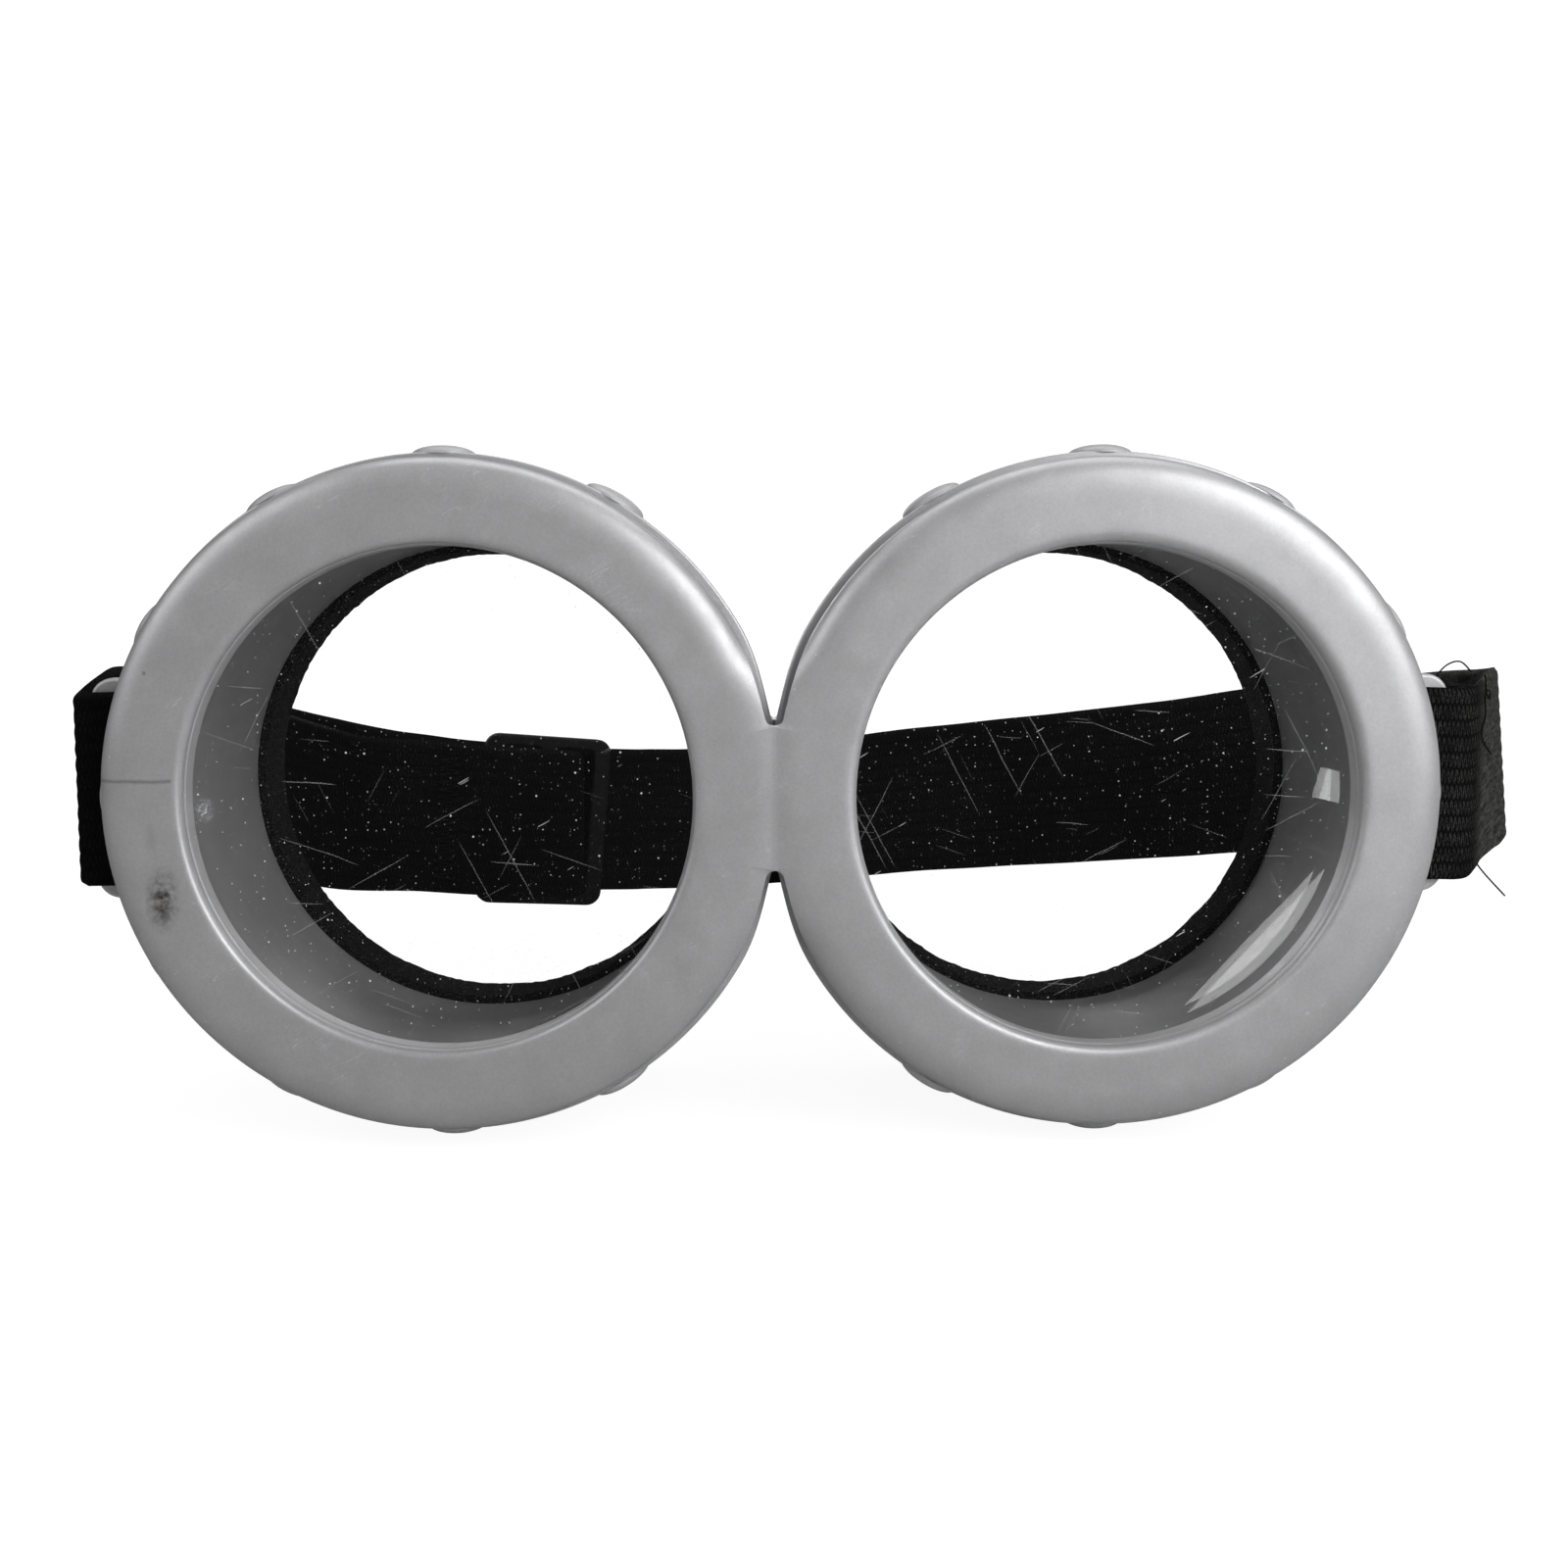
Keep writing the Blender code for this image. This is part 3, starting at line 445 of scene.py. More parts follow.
def lens_material():
    """Clear sheet plastic: see-through, a mirror at glancing angles, scratched and dusty."""
    s = Shader("clear_scratched_lens")
    x, y, z = s.separate(s.coords)
    flat = s.node("ShaderNodeCombineXYZ", {0: x, 1: z}).outputs[0]
    wander = s.node("ShaderNodeTexNoise", {"Vector": flat, "Scale": 0.12 / MM})
    bent = s.vector("MULTIPLY_ADD", wander.outputs["Color"], (0.7 * MM, 0.7 * MM, 0), flat)[0]
    marks = s.ramp(s.noise(0.08, 3.0, 0.6), [(0.40, 0.0), (0.80, 0.0015)])
    for turn_deg, long, thin, share, level in LENS_SCRATCHES:
        coords = s.scaled((long / MM, thin / MM, 1), (0, 0, math.radians(turn_deg)), bent)
        lines = s.flat_specks(coords, share, 0.42)
        marks = s.math("MAXIMUM", marks, s.times(lines, level))
    for per_mm, share, size, level in LENS_DUST:
        dots = s.flat_specks(s.scaled((per_mm / MM, per_mm / MM, 1), vector=flat), share, size)
        marks = s.math("MAXIMUM", marks, s.times(dots, level))
    torn = s.ramp(s.noise(2.4, 3.0, 0.7), [(0.42, 0.0), (0.60, 0.40)])
    scuff = s.times(s.times(s.near(LENS_SCUFF), 1.4), torn)
    marks = s.math("MAXIMUM", marks, scuff)
    marks = s.times(marks, s.math("LESS_THAN", y, middle_of("lens_left").y))
    s.set(Base_Color=(0.85, 0.86, 0.88, 1.0), Roughness=0.6)
    clear = s.node("ShaderNodeBsdfTransparent", {"Color": (1, 1, 1, 1)})
    slight_waves = s.bump(s.noise(0.05, 1.0), 0.15 * MM, 0.3)
    gloss = s.node("ShaderNodeBsdfGlossy", {
        "Roughness": 0.02, "Color": (1, 1, 1, 1), "Normal": slight_waves})
    # the same share is mirrored at both faces of the sheet, more toward glancing angles
    facing = s.node("ShaderNodeLayerWeight", {"Blend": 0.5}).outputs["Facing"]
    mirrored = s.math("MULTIPLY_ADD", s.math("POWER", facing, 5.0), 1 - LENS_MIRROR, LENS_MIRROR)
    glass = s.mix_shader(mirrored, clear.outputs[0], gloss.outputs[0])
    return s.shade(s.mix_shader(marks, glass, s.surface.outputs[0]))


def foam_material():
    s = Shader("open_cell_foam")
    pores = s.node("ShaderNodeTexVoronoi", {"Vector": s.coords, "Scale": 2.4 / MM},
                   feature="DISTANCE_TO_EDGE")
    walls = s.ramp(pores.outputs["Distance"], [(0.02, 1.0), (0.25, 0.0)])
    tone = s.ramp(s.noise(1.2, 3.0, 0.7), [(0.3, 0.5), (0.75, 1.3)])
    # the pores are coloured darker than their walls: painted shade in the hollows
    base = s.mix(walls, (0.003, 0.003, 0.003), (0.034, 0.0335, 0.033))
    base = s.mix(1.0, base, tone, "MULTIPLY")
    lint = s.specks(0.7, 0.10, 0.10)
    base = s.mix(s.times(lint, 0.30), base, (0.5, 0.5, 0.5))
    height = s.math("ADD", walls, s.noise(3.0, 3.0, 0.7))
    rough = s.ramp(s.noise(1.5, 2.0), [(0.3, 0.86), (0.7, 1.0)])
    return s.set(Base_Color=base, Roughness=rough, Normal=s.bump(height, 0.35 * MM, 0.9),
                 Specular_IOR_Level=0.08)


def webbing_material():
    """Ribbed knitted elastic; its map has mm along the strap and across it."""
    s = Shader("black_knit_elastic")
    uv = s.node("ShaderNodeUVMap", uv_map="strap_mm").outputs[0]
    u, v, _ = s.separate(uv)
    in_rib = s.math("FRACT", s.math("DIVIDE", v, STRAP_WIDTH / MM / STRAP_RIBS))
    wobble = s.times(s.minus(s.noise(0.8, 2.0, 0.6), 0.5), 0.5)
    column = s.math("ADD", s.math("DIVIDE", u, STITCH_PITCH), wobble)
    in_stitch = s.math("ABSOLUTE", s.minus(s.math("FRACT", column), 0.5))
    # each stitch is a V: two arms that part toward the top of the rib
    arm = s.minus(in_stitch, s.times(in_rib, 0.34))
    arm = s.math("ABSOLUTE", s.minus(arm, 0.07))
    yarn = s.ramp(arm, [(0.03, 1.0), (0.16, 0.0)])
    crown = s.ramp(s.math("ABSOLUTE", s.minus(in_rib, 0.5)), [(0.30, 1.0), (0.5, 0.0)])
    knit = s.times(yarn, crown)
    fibre = s.noise(5.0, 3.0, 0.7)
    fleck = s.ramp(fibre, [(0.42, 0.05), (0.66, 1.0)])
    patchy_sheen = s.ramp(s.noise(0.35, 3.0, 0.6), [(0.35, 0.35), (0.7, 1.0)])
    # the stitches' pale flecks are painted sheen; away from the right-hand end they thin out, a
    # painted shade over the rest of the strap
    shade_along = s.ramp(s.math("DIVIDE", u, FLECK_SHADE_END), [(0.40, 1.0), (0.6, 0.15)])
    lit = s.times(s.times(knit, s.times(patchy_sheen, shade_along)), fleck)
    base = s.mix(lit, (0.0012, 0.0012, 0.0013), (0.125, 0.122, 0.118))
    # the sewn end is greyer, with slubs that run along the ribs: partly faded knit, partly painted
    # light where its outer fold faces the light from the right
    faded_and_lit = s.ramp(s.math("DIVIDE", u, GREY_END), [(0.95, 1.0), (1.0, 0.0)])
    slub = s.noise(1.0, 3.0, 0.65, vector=s.scaled((0.35, 1.6, 1), vector=uv))
    grey = s.mix(s.ramp(slub, [(0.36, 0.0), (0.62, 1.0)]), (0.018, 0.0175, 0.017),
                 (0.085, 0.083, 0.081))
    base = s.mix(s.times(faded_and_lit, s.ramp(fibre, [(0.36, 0.25), (0.6, 1.0)])), base, grey)
    lint = s.specks(0.8, 0.05, 0.10)
    base = s.mix(s.times(lint, 0.35), base, (0.4, 0.4, 0.4))
    height = s.math("ADD", knit, s.times(fibre, 0.5))
    rough = s.ramp(fibre, [(0.2, 0.80), (0.8, 0.98)])
    return s.set(Base_Color=base, Roughness=rough, Normal=s.bump(height, 0.22 * MM, 0.9),
                 Specular_IOR_Level=0.10)


def thread_material():
    s = Shader("black_sewing_thread")
    twist = s.node("ShaderNodeTexWave", {"Vector": s.coords, "Scale": 1.6 / MM, "Distortion": 1.5},
                   wave_type="BANDS", bands_direction="DIAGONAL").outputs["Fac"]
    base = s.mix(twist, (0.002, 0.002, 0.002), (0.009, 0.009, 0.0085))
    rough = s.ramp(twist, [(0.2, 0.7), (0.8, 0.9)])
    return s.set(Base_Color=base, Roughness=rough, Normal=s.bump(twist, 0.05 * MM),
                 Specular_IOR_Level=0.10)


def black_plastic_material():
    s = Shader("black_moulded_plastic")
    base = s.mix(s.ramp(s.noise(0.5, 3.0, 0.6), [(0.3, 0.0), (0.7, 1.0)]),
                 (0.002, 0.002, 0.002), (0.005, 0.005, 0.0052))
    wear = s.times(s.scratches((0.4, 0.9, 0.3), 0.004, cover=0.5), 0.5)
    base = s.mix(wear, base, (0.09, 0.09, 0.09))
    rough = s.ramp(s.noise(1.2, 4.0, 0.65), [(0.25, 0.48), (0.8, 0.68)])
    return s.set(Base_Color=base, Roughness=rough, Specular_IOR_Level=0.22,
                 Normal=s.bump(s.noise(2.5, 3.0, 0.6), 0.03 * MM, 0.6))


# ---- cups

def notch_of(nose_r, fillet):
    """Heights of the fillet's centre and of the notch it fills, above the cup axes."""
    centre = math.sqrt((nose_r + fillet) ** 2 - HALF_SPACING ** 2)
    return centre, centre - fillet


def reach(angle, nose_r, far_r, fillet):
    """Outer radius at an angle from the nose: the nose line, a fillet, then the round rim."""
    centre, floor = notch_of(nose_r, fillet)
    turn = abs(angle)
    if turn <= math.atan2(floor, HALF_SPACING):
        return HALF_SPACING / math.cos(turn)
    tangent = math.atan2(centre, HALF_SPACING)
    if turn < tangent:
        along = HALF_SPACING * math.cos(turn) + centre * math.sin(turn)
        return along - math.sqrt(along ** 2 - (nose_r + fillet) ** 2 + fillet ** 2)
    blend = smoothstep((turn - tangent) / math.radians(NOSE_BLEND_DEG))
    return nose_r + (far_r - nose_r) * blend


def nose_angles(nose_r, fillet):
    """Angles from the nose, closer together along the crease and the fillet."""
    crease_steps, fillet_steps, round_steps, ease = 14, 8, 104, 1.15
    centre, floor = notch_of(nose_r, fillet)
    half = [math.atan2(floor * math.sin(math.pi / 2 * i / crease_steps), HALF_SPACING)
            for i in range(crease_steps)]
    low, high = math.atan2(floor, HALF_SPACING), math.atan2(centre, HALF_SPACING)
    half += [low + (high - low) * (1 - math.cos(math.pi / 2 * i / fillet_steps))
             for i in range(fillet_steps)]
    half += [high + (math.pi - high) * (i / round_steps) ** ease for i in range(round_steps + 1)]
    return half + [-a for a in reversed(half[1:-1])]


def joined_cups(name, profile_at, nose_r, fillet, material, contour=None):
    """Both cups in one moulding: each is turned about its axis and they meet at the nose."""
    bm = bmesh.new()
    for side in (-1, 1):
        rows = []
        for angle in nose_angles(nose_r, fillet):
            row = []
            for r, d in profile_at(angle):
                inward = r * math.cos(angle)
                d += contour(d, -math.cos(angle)) if contour else 0.0
                x = side * (HALF_SPACING - inward)
                row.append(bm.verts.new(place(x, d, r * math.sin(angle))))
            rows.append(row)
        skin(bm, rows)
    bmesh.ops.remove_doubles(bm, verts=bm.verts, dist=0.5e-6)
    inner = [f for f in bm.faces if all(abs(v.co.x - NOSE_X) < 1e-6 for v in f.verts)]
    bmesh.ops.delete(bm, geom=inner, context="FACES")
    return finish_mesh(name, bm, material)


def rim_contour(d, toward_temple):
    share = min(max((d - FLANGE_BACK_D) / (RIM_D - FLANGE_BACK_D), 0.0), 1.0)
    return -share * NOSE_CUT * min(toward_temple, 0.0) ** 2


def front_profile(angle):
    outer = reach(angle, RING_NOSE_R, RING_OUTER_R, NOTCH_FILLET)
    tangent = math.atan2(notch_of(RING_NOSE_R, NOTCH_FILLET)[0], HALF_SPACING)
    free = smoothstep((abs(angle) - tangent) / math.radians(CREASE_FADE_DEG))
    last = CREASE_SHARE + (1 - CREASE_SHARE) * free
    undercut = RING_UNDERCUT * free
    points = []
    for step in range(FACE_STEPS + 1):
        t = (1 - math.cos(math.pi * step / FACE_STEPS)) / 2
        u = -1 + (last + 1) * t
        r = RING_HOLE_R + (outer - RING_HOLE_R) * t
        # the crease between the two rims is softened over a short width
        from_nose = max(HALF_SPACING - r * math.cos(angle), 0.0)
        soft = math.hypot(from_nose, CREASE_SOFT) - from_nose
        u -= (1 - free) * soft * 2 / (RING_OUTER_R - RING_HOLE_R)
        power, depth = (RING_HOLE_POWER, RING_HOLE_ROUND) if u < 0 else (RING_POWER, RING_ROUND)
        points.append((r, depth * (1 - math.sqrt(max(0.0, 1 - abs(u) ** power)))))
    ledge_r, ledge_d, ledge_slope = RING_HOLE_R - HOLE_LEDGE, RING_HOLE_ROUND, 0.35 * MM
    return points + [
        (outer, RING_WALL_D), (outer - undercut, RING_WALL_D + 0.3 * MM),
        (outer - undercut, RING_BACK_D), (LENS_SEAT_R, RING_BACK_D),
        (LENS_SEAT_R, LENS_SEAT_D), (RING_HOLE_R, LENS_SEAT_D),
        (ledge_r, LENS_SEAT_D - 0.1 * MM), (ledge_r, ledge_d + ledge_slope + 0.3 * MM),
        (RING_HOLE_R - HOLE_LEDGE * 0.6, ledge_d + ledge_slope + 0.1 * MM),
        (RING_HOLE_R, ledge_d + ledge_slope)]


def back_profile(angle):
    outer = reach(angle, FLANGE_NOSE_R, FLANGE_R, FLANGE_FILLET)
    tube_front = TUBE_INNER_FRONT_R + TUBE_WALL
    tube_back = TUBE_INNER_BACK_R + TUBE_WALL
    corner = (outer - FLANGE_ROUND, FLANGE_BACK_D - FLANGE_ROUND)
    rim = (tube_back - RIM_ROUND, RIM_D - RIM_ROUND)
    lip = (TUBE_INNER_BACK_R + RIM_ROUND - 0.25 * MM, RIM_D - RIM_ROUND)
    edge, root_fillet = 0.3 * MM, 0.8 * MM
    points = arc_points((outer - edge, SHELL_FRONT_D + edge), edge, -90, 0, 3)
    points += arc_points(corner, FLANGE_ROUND, 0, 90, 6)
    points += arc_points((tube_front + root_fillet * 1.5, FLANGE_BACK_D + root_fillet),
                         root_fillet, -90, -180, 4)
    points += arc_points(rim, RIM_ROUND, 0, 90, 4)
    points += arc_points(lip, RIM_ROUND, 90, 180, 5)
    points += [(TUBE_INNER_BACK_R, RIM_D - 2.2 * MM),
               (TUBE_INNER_BACK_R + 0.35 * MM, 24.0 * MM), (TUBE_INNER_FRONT_R, 15.0 * MM),
               (TUBE_INNER_FRONT_R, SHELL_FRONT_D + 0.2 * MM),
               (TUBE_INNER_FRONT_R + 0.2 * MM, SHELL_FRONT_D),
               (tube_front, SHELL_FRONT_D), (tube_front, CHANNEL_BACK_D),
               (CHANNEL_OUTER_R, CHANNEL_BACK_D), (CHANNEL_OUTER_R, SHELL_FRONT_D)]
    return points


def build_cups(silver, shell_silver, inner_silver_shaded):
    front = joined_cups("front_frame_moulding", front_profile, RING_NOSE_R, NOTCH_FILLET, silver)
    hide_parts("front_frame")
    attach(front, "goggles")
    back = joined_cups("back_shell_moulding", back_profile, FLANGE_NOSE_R, FLANGE_FILLET,
                       shell_silver, rim_contour)
    # the faces inside the tubes take a darker copy of the silver: painted shade inside the cups
    back.data.materials.append(inner_silver_shaded)
    for face in back.data.polygons:
        centre = face.center
        side = 1 if centre.x > NOSE_X else -1
        away = centre - place(side * HALF_SPACING, 0)
        radius = math.hypot(away.x, away.z)
        if radius < TUBE_INNER_FRONT_R + 0.1 * MM and away.y < RIM_D:
            face.material_index = 1
    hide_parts("back_shell")
    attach(back, "goggles")


def rivet_matrix(side, turn_deg):
    angle = math.radians(turn_deg)
    outward = Vector((side * math.cos(angle), 0, math.sin(angle)))
    tangent = Vector((0, 1, 0))
    matrix = Matrix((tangent, tangent.cross(outward), outward)).transposed().to_4x4()
    matrix.translation = place(side * HALF_SPACING, RIVET_D)
    return matrix


def build_rivets(silver):
    base, head_r, height, brim = FLANGE_R - 0.25 * MM, 3.9 * MM, 1.35 * MM, 0.12 * MM
    shank_r, shank_end, dome_steps, fullness = 1.3 * MM, base - 1.0 * MM, 10, 0.92
    profile = [(0, shank_end), (shank_r, shank_end), (shank_r, base),
               (head_r - 0.1 * MM, base), (head_r, base + brim)]
    for step in range(1, dome_steps + 1):
        a = math.pi / 2 * step / dome_steps
        profile.append((head_r * math.cos(a) ** fullness if step < dome_steps else 0,
                        base + brim + (height - brim) * math.sin(a)))
    for side, word in SIDES:
        for number in range(RIVET_COUNT):
            bm = bmesh.new()
            turn_deg = RIVET_STEP_DEG * (number - RIVET_COUNT // 2)
            disc_of(bm, profile, rivet_matrix(side, turn_deg), RIVET_SEGMENTS)
            rivet = finish_mesh(f"rivet_{word}_{number + 1}_dome", bm, silver)
            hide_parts(f"rivet_{word}_{number + 1}")
            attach(rivet, "goggles")


def build_lenses(clear, snap_grey):
    low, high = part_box("lens_left")
    radius = (high[0] - low[0]) / 2
    front, back = low[1] - FRONT_Y, high[1] - FRONT_Y
    edge = 0.25 * MM
    profile = [(0, front), (radius * 0.5, front), (radius - edge, front),
               (radius, front + edge), (radius, back - edge), (radius - edge, back),
               (radius * 0.5, back), (0, back)]
    for side, word in SIDES:
        matrix = Matrix.Translation(place(side * HALF_SPACING, 0))
        matrix = matrix @ Matrix.Rotation(math.radians(-90), 4, "X")
        bm = bmesh.new()
        disc_of(bm, profile, matrix, LENS_SEGMENTS)
        lens = finish_mesh(f"lens_{word}_sheet", bm, clear)
        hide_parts(f"lens_{word}")
        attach(lens, "goggles")
        build_snap_ring(side, word, back, snap_grey)


def build_snap_ring(side, word, lens_back, material):
    """A split ring that holds the lens: rounded edges, with a gap at the top."""
    front = lens_back + 0.05 * MM
    inner, outer, thick, edge = 31.3 * MM, 33.0 * MM, 1.7 * MM, 0.35 * MM
    profile = []
    for r, d, start in ((outer - edge, front + edge, -90),
                        (outer - edge, front + thick - edge, 0),
                        (inner + edge, front + thick - edge, 90),
                        (inner + edge, front + edge, 180)):
        profile += arc_points((r, d), edge, start, start + 90, 3)
    bm = bmesh.new()
    rows = []
    steps, gap_deg = 150, 3.0
    for step in range(steps + 1):
        angle = math.radians(90 + gap_deg / 2 + (360 - gap_deg) * step / steps)
        rows.append([bm.verts.new(place(side * HALF_SPACING + r * math.cos(angle), d,
                                        r * math.sin(angle))) for r, d in profile])
    skin(bm, rows, closed_rows=False)
    bm.faces.new(rows[0])
    bm.faces.new(rows[-1])
    ring = finish_mesh(f"snap_ring_{word}_split", bm, material)
    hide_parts(f"lens_snap_ring_{word}")
    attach(ring, "goggles")


def foam_jitter(point):
    """Ragged cut edges: fine and coarse noise, in metres."""
    fine = noise.noise_vector(point / (0.7 * MM))
    coarse = noise.noise_vector(point / (4.5 * MM))
    return fine * (0.13 * MM) + coarse * (0.16 * MM)


def build_foam(material):
    front, back = RIM_D + 0.08 * MM, FOAM_BACK_D
    soft = 0.8 * MM
    corners = [(FOAM_OUTER_R, front), (FOAM_OUTER_R, back - soft), (FOAM_OUTER_R - soft, back),
               (FOAM_INNER_R + 0.3 * MM, back), (FOAM_INNER_R, back - 0.3 * MM),
               (FOAM_INNER_R, front)]
    profile = []
    for a, b, steps in zip(corners, corners[1:] + corners[:1], (9, 2, 3, 1, 10, 4)):
        for step in range(steps):
            t = step / steps
            profile.append((a[0] + (b[0] - a[0]) * t, a[1] + (b[1] - a[1]) * t))
    for side, word in SIDES:
        bm = bmesh.new()
        rows = []
        for step in range(FOAM_SEGMENTS):
            angle = math.tau * step / FOAM_SEGMENTS
            row = []
            for r, d in profile:
                d += rim_contour(d, side * math.cos(angle))
                point = place(side * HALF_SPACING + r * math.cos(angle), d, r * math.sin(angle))
                row.append(bm.verts.new(point + foam_jitter(point)))
            rows.append(row)
        skin(bm, rows)
        foam = finish_mesh(f"foam_{word}_seal", bm, material)
        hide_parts(f"foam_seal_{word}")
        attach(foam, "goggles")


def slot_outline(low, high, half, corner, steps):
    """Upper half of a slot's outline, from its high side back to its low side."""
    outline = [(high, 0.0)]
    outline += arc_points((high - corner, half - corner), corner, 0, 90, steps)
    outline += arc_points((low + corner, half - corner), corner, 90, 180, steps)
    return outline + [(low, 0.0)]


def plate_of(name, outline, thick, to_place, material, width, segments):
    """A flat plate from the upper half of its outline, with rounded edges of a given width."""
    bm = bmesh.new()
    for mirror in (1, -1):
        bm.faces.new([bm.verts.new((u, mirror * v, -thick / 2)) for u, v in outline])
    bmesh.ops.remove_doubles(bm, verts=bm.verts, dist=1e-6)
    made = bmesh.ops.extrude_face_region(bm, geom=bm.faces[:])
    moved = [g for g in made["geom"] if isinstance(g, bmesh.types.BMVert)]
    bmesh.ops.translate(bm, verts=moved, vec=(0, 0, thick))
    for vert in bm.verts:
        vert.co = to_place(*vert.co)
    plate = finish_mesh(name, bm, material, 35)
    bevel = plate.modifiers.new("edges", "BEVEL")
    bevel.width, bevel.segments, bevel.limit_method = width, segments, "ANGLE"
    bevel.angle_limit = math.radians(50)
    bevel.harden_normals = True
    return plate


def build_lugs(silver):
    """Flat loops with rounded edges that grow out of the side of each cup."""
    root_r, end_x, half_height, corner = 34.4 * MM, 87.3 * MM, 14.2 * MM, 3.0 * MM
    slot_in, slot_out, slot_half, slot_corner = 77.8 * MM, 81.8 * MM, 12.8 * MM, 0.8 * MM
    root_steps = 8
    upper = []
    for step in range(root_steps + 1):
        z = half_height * step / root_steps
        upper.append((HALF_SPACING + math.sqrt(root_r ** 2 - z ** 2), z))
    upper += arc_points((end_x - corner, half_height - corner), corner, 90, 0, 8)
    upper.append((end_x, 0.0))
    upper += slot_outline(slot_in, slot_out, slot_half, slot_corner, 3)
    middle_d = (LUG_FRONT_D + LUG_BACK_D) / 2
    for side, word in SIDES:
        lug = plate_of(f"lug_{word}_loop", upper, LUG_BACK_D - LUG_FRONT_D,
                       lambda u, v, w: place(side * u, middle_d + w, v), silver, 0.55 * MM, 4)
        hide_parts(f"strap_lug_{word}")
        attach(lug, "goggles")


# ---- strap

def smooth_route(route, steps=ROUTE_STEPS):
    """Catmull-Rom curve through (x, d, z) points."""
    points = [Vector(p) for p in route]
    padded = [points[0]] + points + [points[-1]]
    fine = []
    for a, b, c, e in zip(padded, padded[1:], padded[2:], padded[3:]):
        for step in range(steps):
            t = step / steps
            fine.append(0.5 * (2 * b + (c - a) * t + (2 * a - 5 * b + 4 * c - e) * t * t
                               + (3 * b - a - 3 * c + e) * t ** 3))
    fine.append(points[-1])
    return fine


def evenly(points):
    lengths = [0.0]
    for a, b in zip(points, points[1:]):
        lengths.append(lengths[-1] + (b - a).length)
    count = round(lengths[-1] / SECTION_STEP)
    result, i = [], 0
    for step in range(count + 1):
        target = lengths[-1] * step / count
        while i < len(points) - 2 and lengths[i + 1] < target:
            i += 1
        span = lengths[i + 1] - lengths[i]
        result.append(points[i].lerp(points[i + 1], (target - lengths[i]) / span))
    return result


def section_axes(along):
    normal = Vector((-along.y, along.x, 0)).normalized()
    return normal, -along.normalized().cross(normal)


def offset(points, distance):
    made = []
    for i, point in enumerate(points):
        along = points[min(i + 1, len(points) - 1)] - points[max(i - 1, 0)]
        made.append(point + section_axes(along)[0] * distance)
    return made


def webbing_section():
    """Half outline of the ribbed section as (across, half thickness), from edge to edge."""
    step_width = STRAP_WIDTH / STRAP_RIBS / RIB_STEPS
    groove, edge, beside_edge = 0.86, 0.22 * MM, 0.60 * MM
    outline = []
    for step in range(STRAP_RIBS * RIB_STEPS + 1):
        across = -STRAP_WIDTH / 2 + step_width * step
        crown = math.sin(math.pi * (step % RIB_STEPS) / RIB_STEPS)
        thick = STRAP_THICKNESS / 2 * (groove + (1 - groove) * crown)
        to_edge = STRAP_WIDTH / 2 - abs(across)
        if to_edge < step_width * 0.5:
            thick = edge
        elif to_edge < step_width * 1.5:
            thick = min(thick, beside_edge)
        outline.append((across, thick))
    return outline


def webbing(name, points, material, start_mm=0.0, fit=None):
    """Sweep the ribbed section along points; the map holds mm along and across.

    fit(point) gives how far up the section sits there and the share of its width it keeps."""
    section = webbing_section()
    bm = bmesh.new()
    uv = bm.loops.layers.uv.new("strap_mm")
    rows, travel = [], start_mm
    for i, point in enumerate(points):
        along = points[min(i + 1, len(points) - 1)] - points[max(i - 1, 0)]
        if i:
            travel += (point - points[i - 1]).length / MM
        normal, up = section_axes(along)
        follow = smoothstep((point.y - UPRIGHT_TO_D) / (FREE_FROM_D - UPRIGHT_TO_D))
        upright = Vector((0, 0, -1 if up.z < 0 else 1))
        up = upright.lerp(up, follow).normalized()
        lean = FOLD_LEAN * smoothstep((point.x - FOLD_LEAN_X[0]) / FOLD_LEAN_X[1])
        up.x += lean * (1 if up.z < 0 else -1)
        base = place(point.x, point.y, point.z)
        wave = noise.noise(Vector((travel / WAVE_LENGTH, 3.1, 0.0))) * WAVE_HEIGHT
        loop_edge = EDGE_LOOP * (1 if i % 2 else -1)
        lift, share = fit(point) if fit else (0.0, 1.0)
        row = []
        for sign in (1, -1):
            for across, thick in (section if sign > 0 else reversed(section[1:-1])):
                reach_out = lift + across * share + math.copysign(loop_edge, across) * (
                    abs(across) > STRAP_WIDTH / 2 - 0.5 * MM)
                rough = ROUGH_HEIGHT * noise.noise(Vector((
                    travel * ROUGH_PER_MM, across / MM * ROUGH_PER_MM, sign)))
                co = base + up * (reach_out + wave) + normal * sign * (thick + rough)
                row.append((bm.verts.new(co), travel, across / MM + STRAP_WIDTH / MM / 2))
        rows.append(row)
    count = len(rows[0])
    for one, two in zip(rows, rows[1:]):
        for j in range(count):
            corners = (one[j], one[(j + 1) % count], two[(j + 1) % count], two[j])
            face = bm.faces.new([c[0] for c in corners])
            for loop, corner in zip(face.loops, corners):
                loop[uv].uv = corner[1:]
    for row in (rows[0], rows[-1]):
        for j in range(len(section) - 1):
            quad = [row[j][0], row[j + 1][0], row[(count - j - 1) % count][0],
                    row[(count - j) % count][0]]
            quad = list(dict.fromkeys(quad))
            if len(quad) > 2:
                face = bm.faces.new(quad)
                for loop in face.loops:
                    loop[uv].uv = row[j][1:]
    return finish_mesh(name, bm, material, 80), travel


def in_metres(route):
    return [tuple(value * MM for value in point) for point in route]


def slider_frame():
    """Middle of the slider and its axes: along the strap, toward the cups and up."""
    joint = next(j for j in frame["joints"] if j["name"] == "slider_slide")
    along = Vector(joint["axis"]).normalized()
    inward, up = section_axes(along)
    return middle_of("slider_buckle"), along, inward, up


def slider_point(s, n, v=0.0):
    middle, along, inward, up = slider_frame()
    return middle + along * s + inward * n + up * v


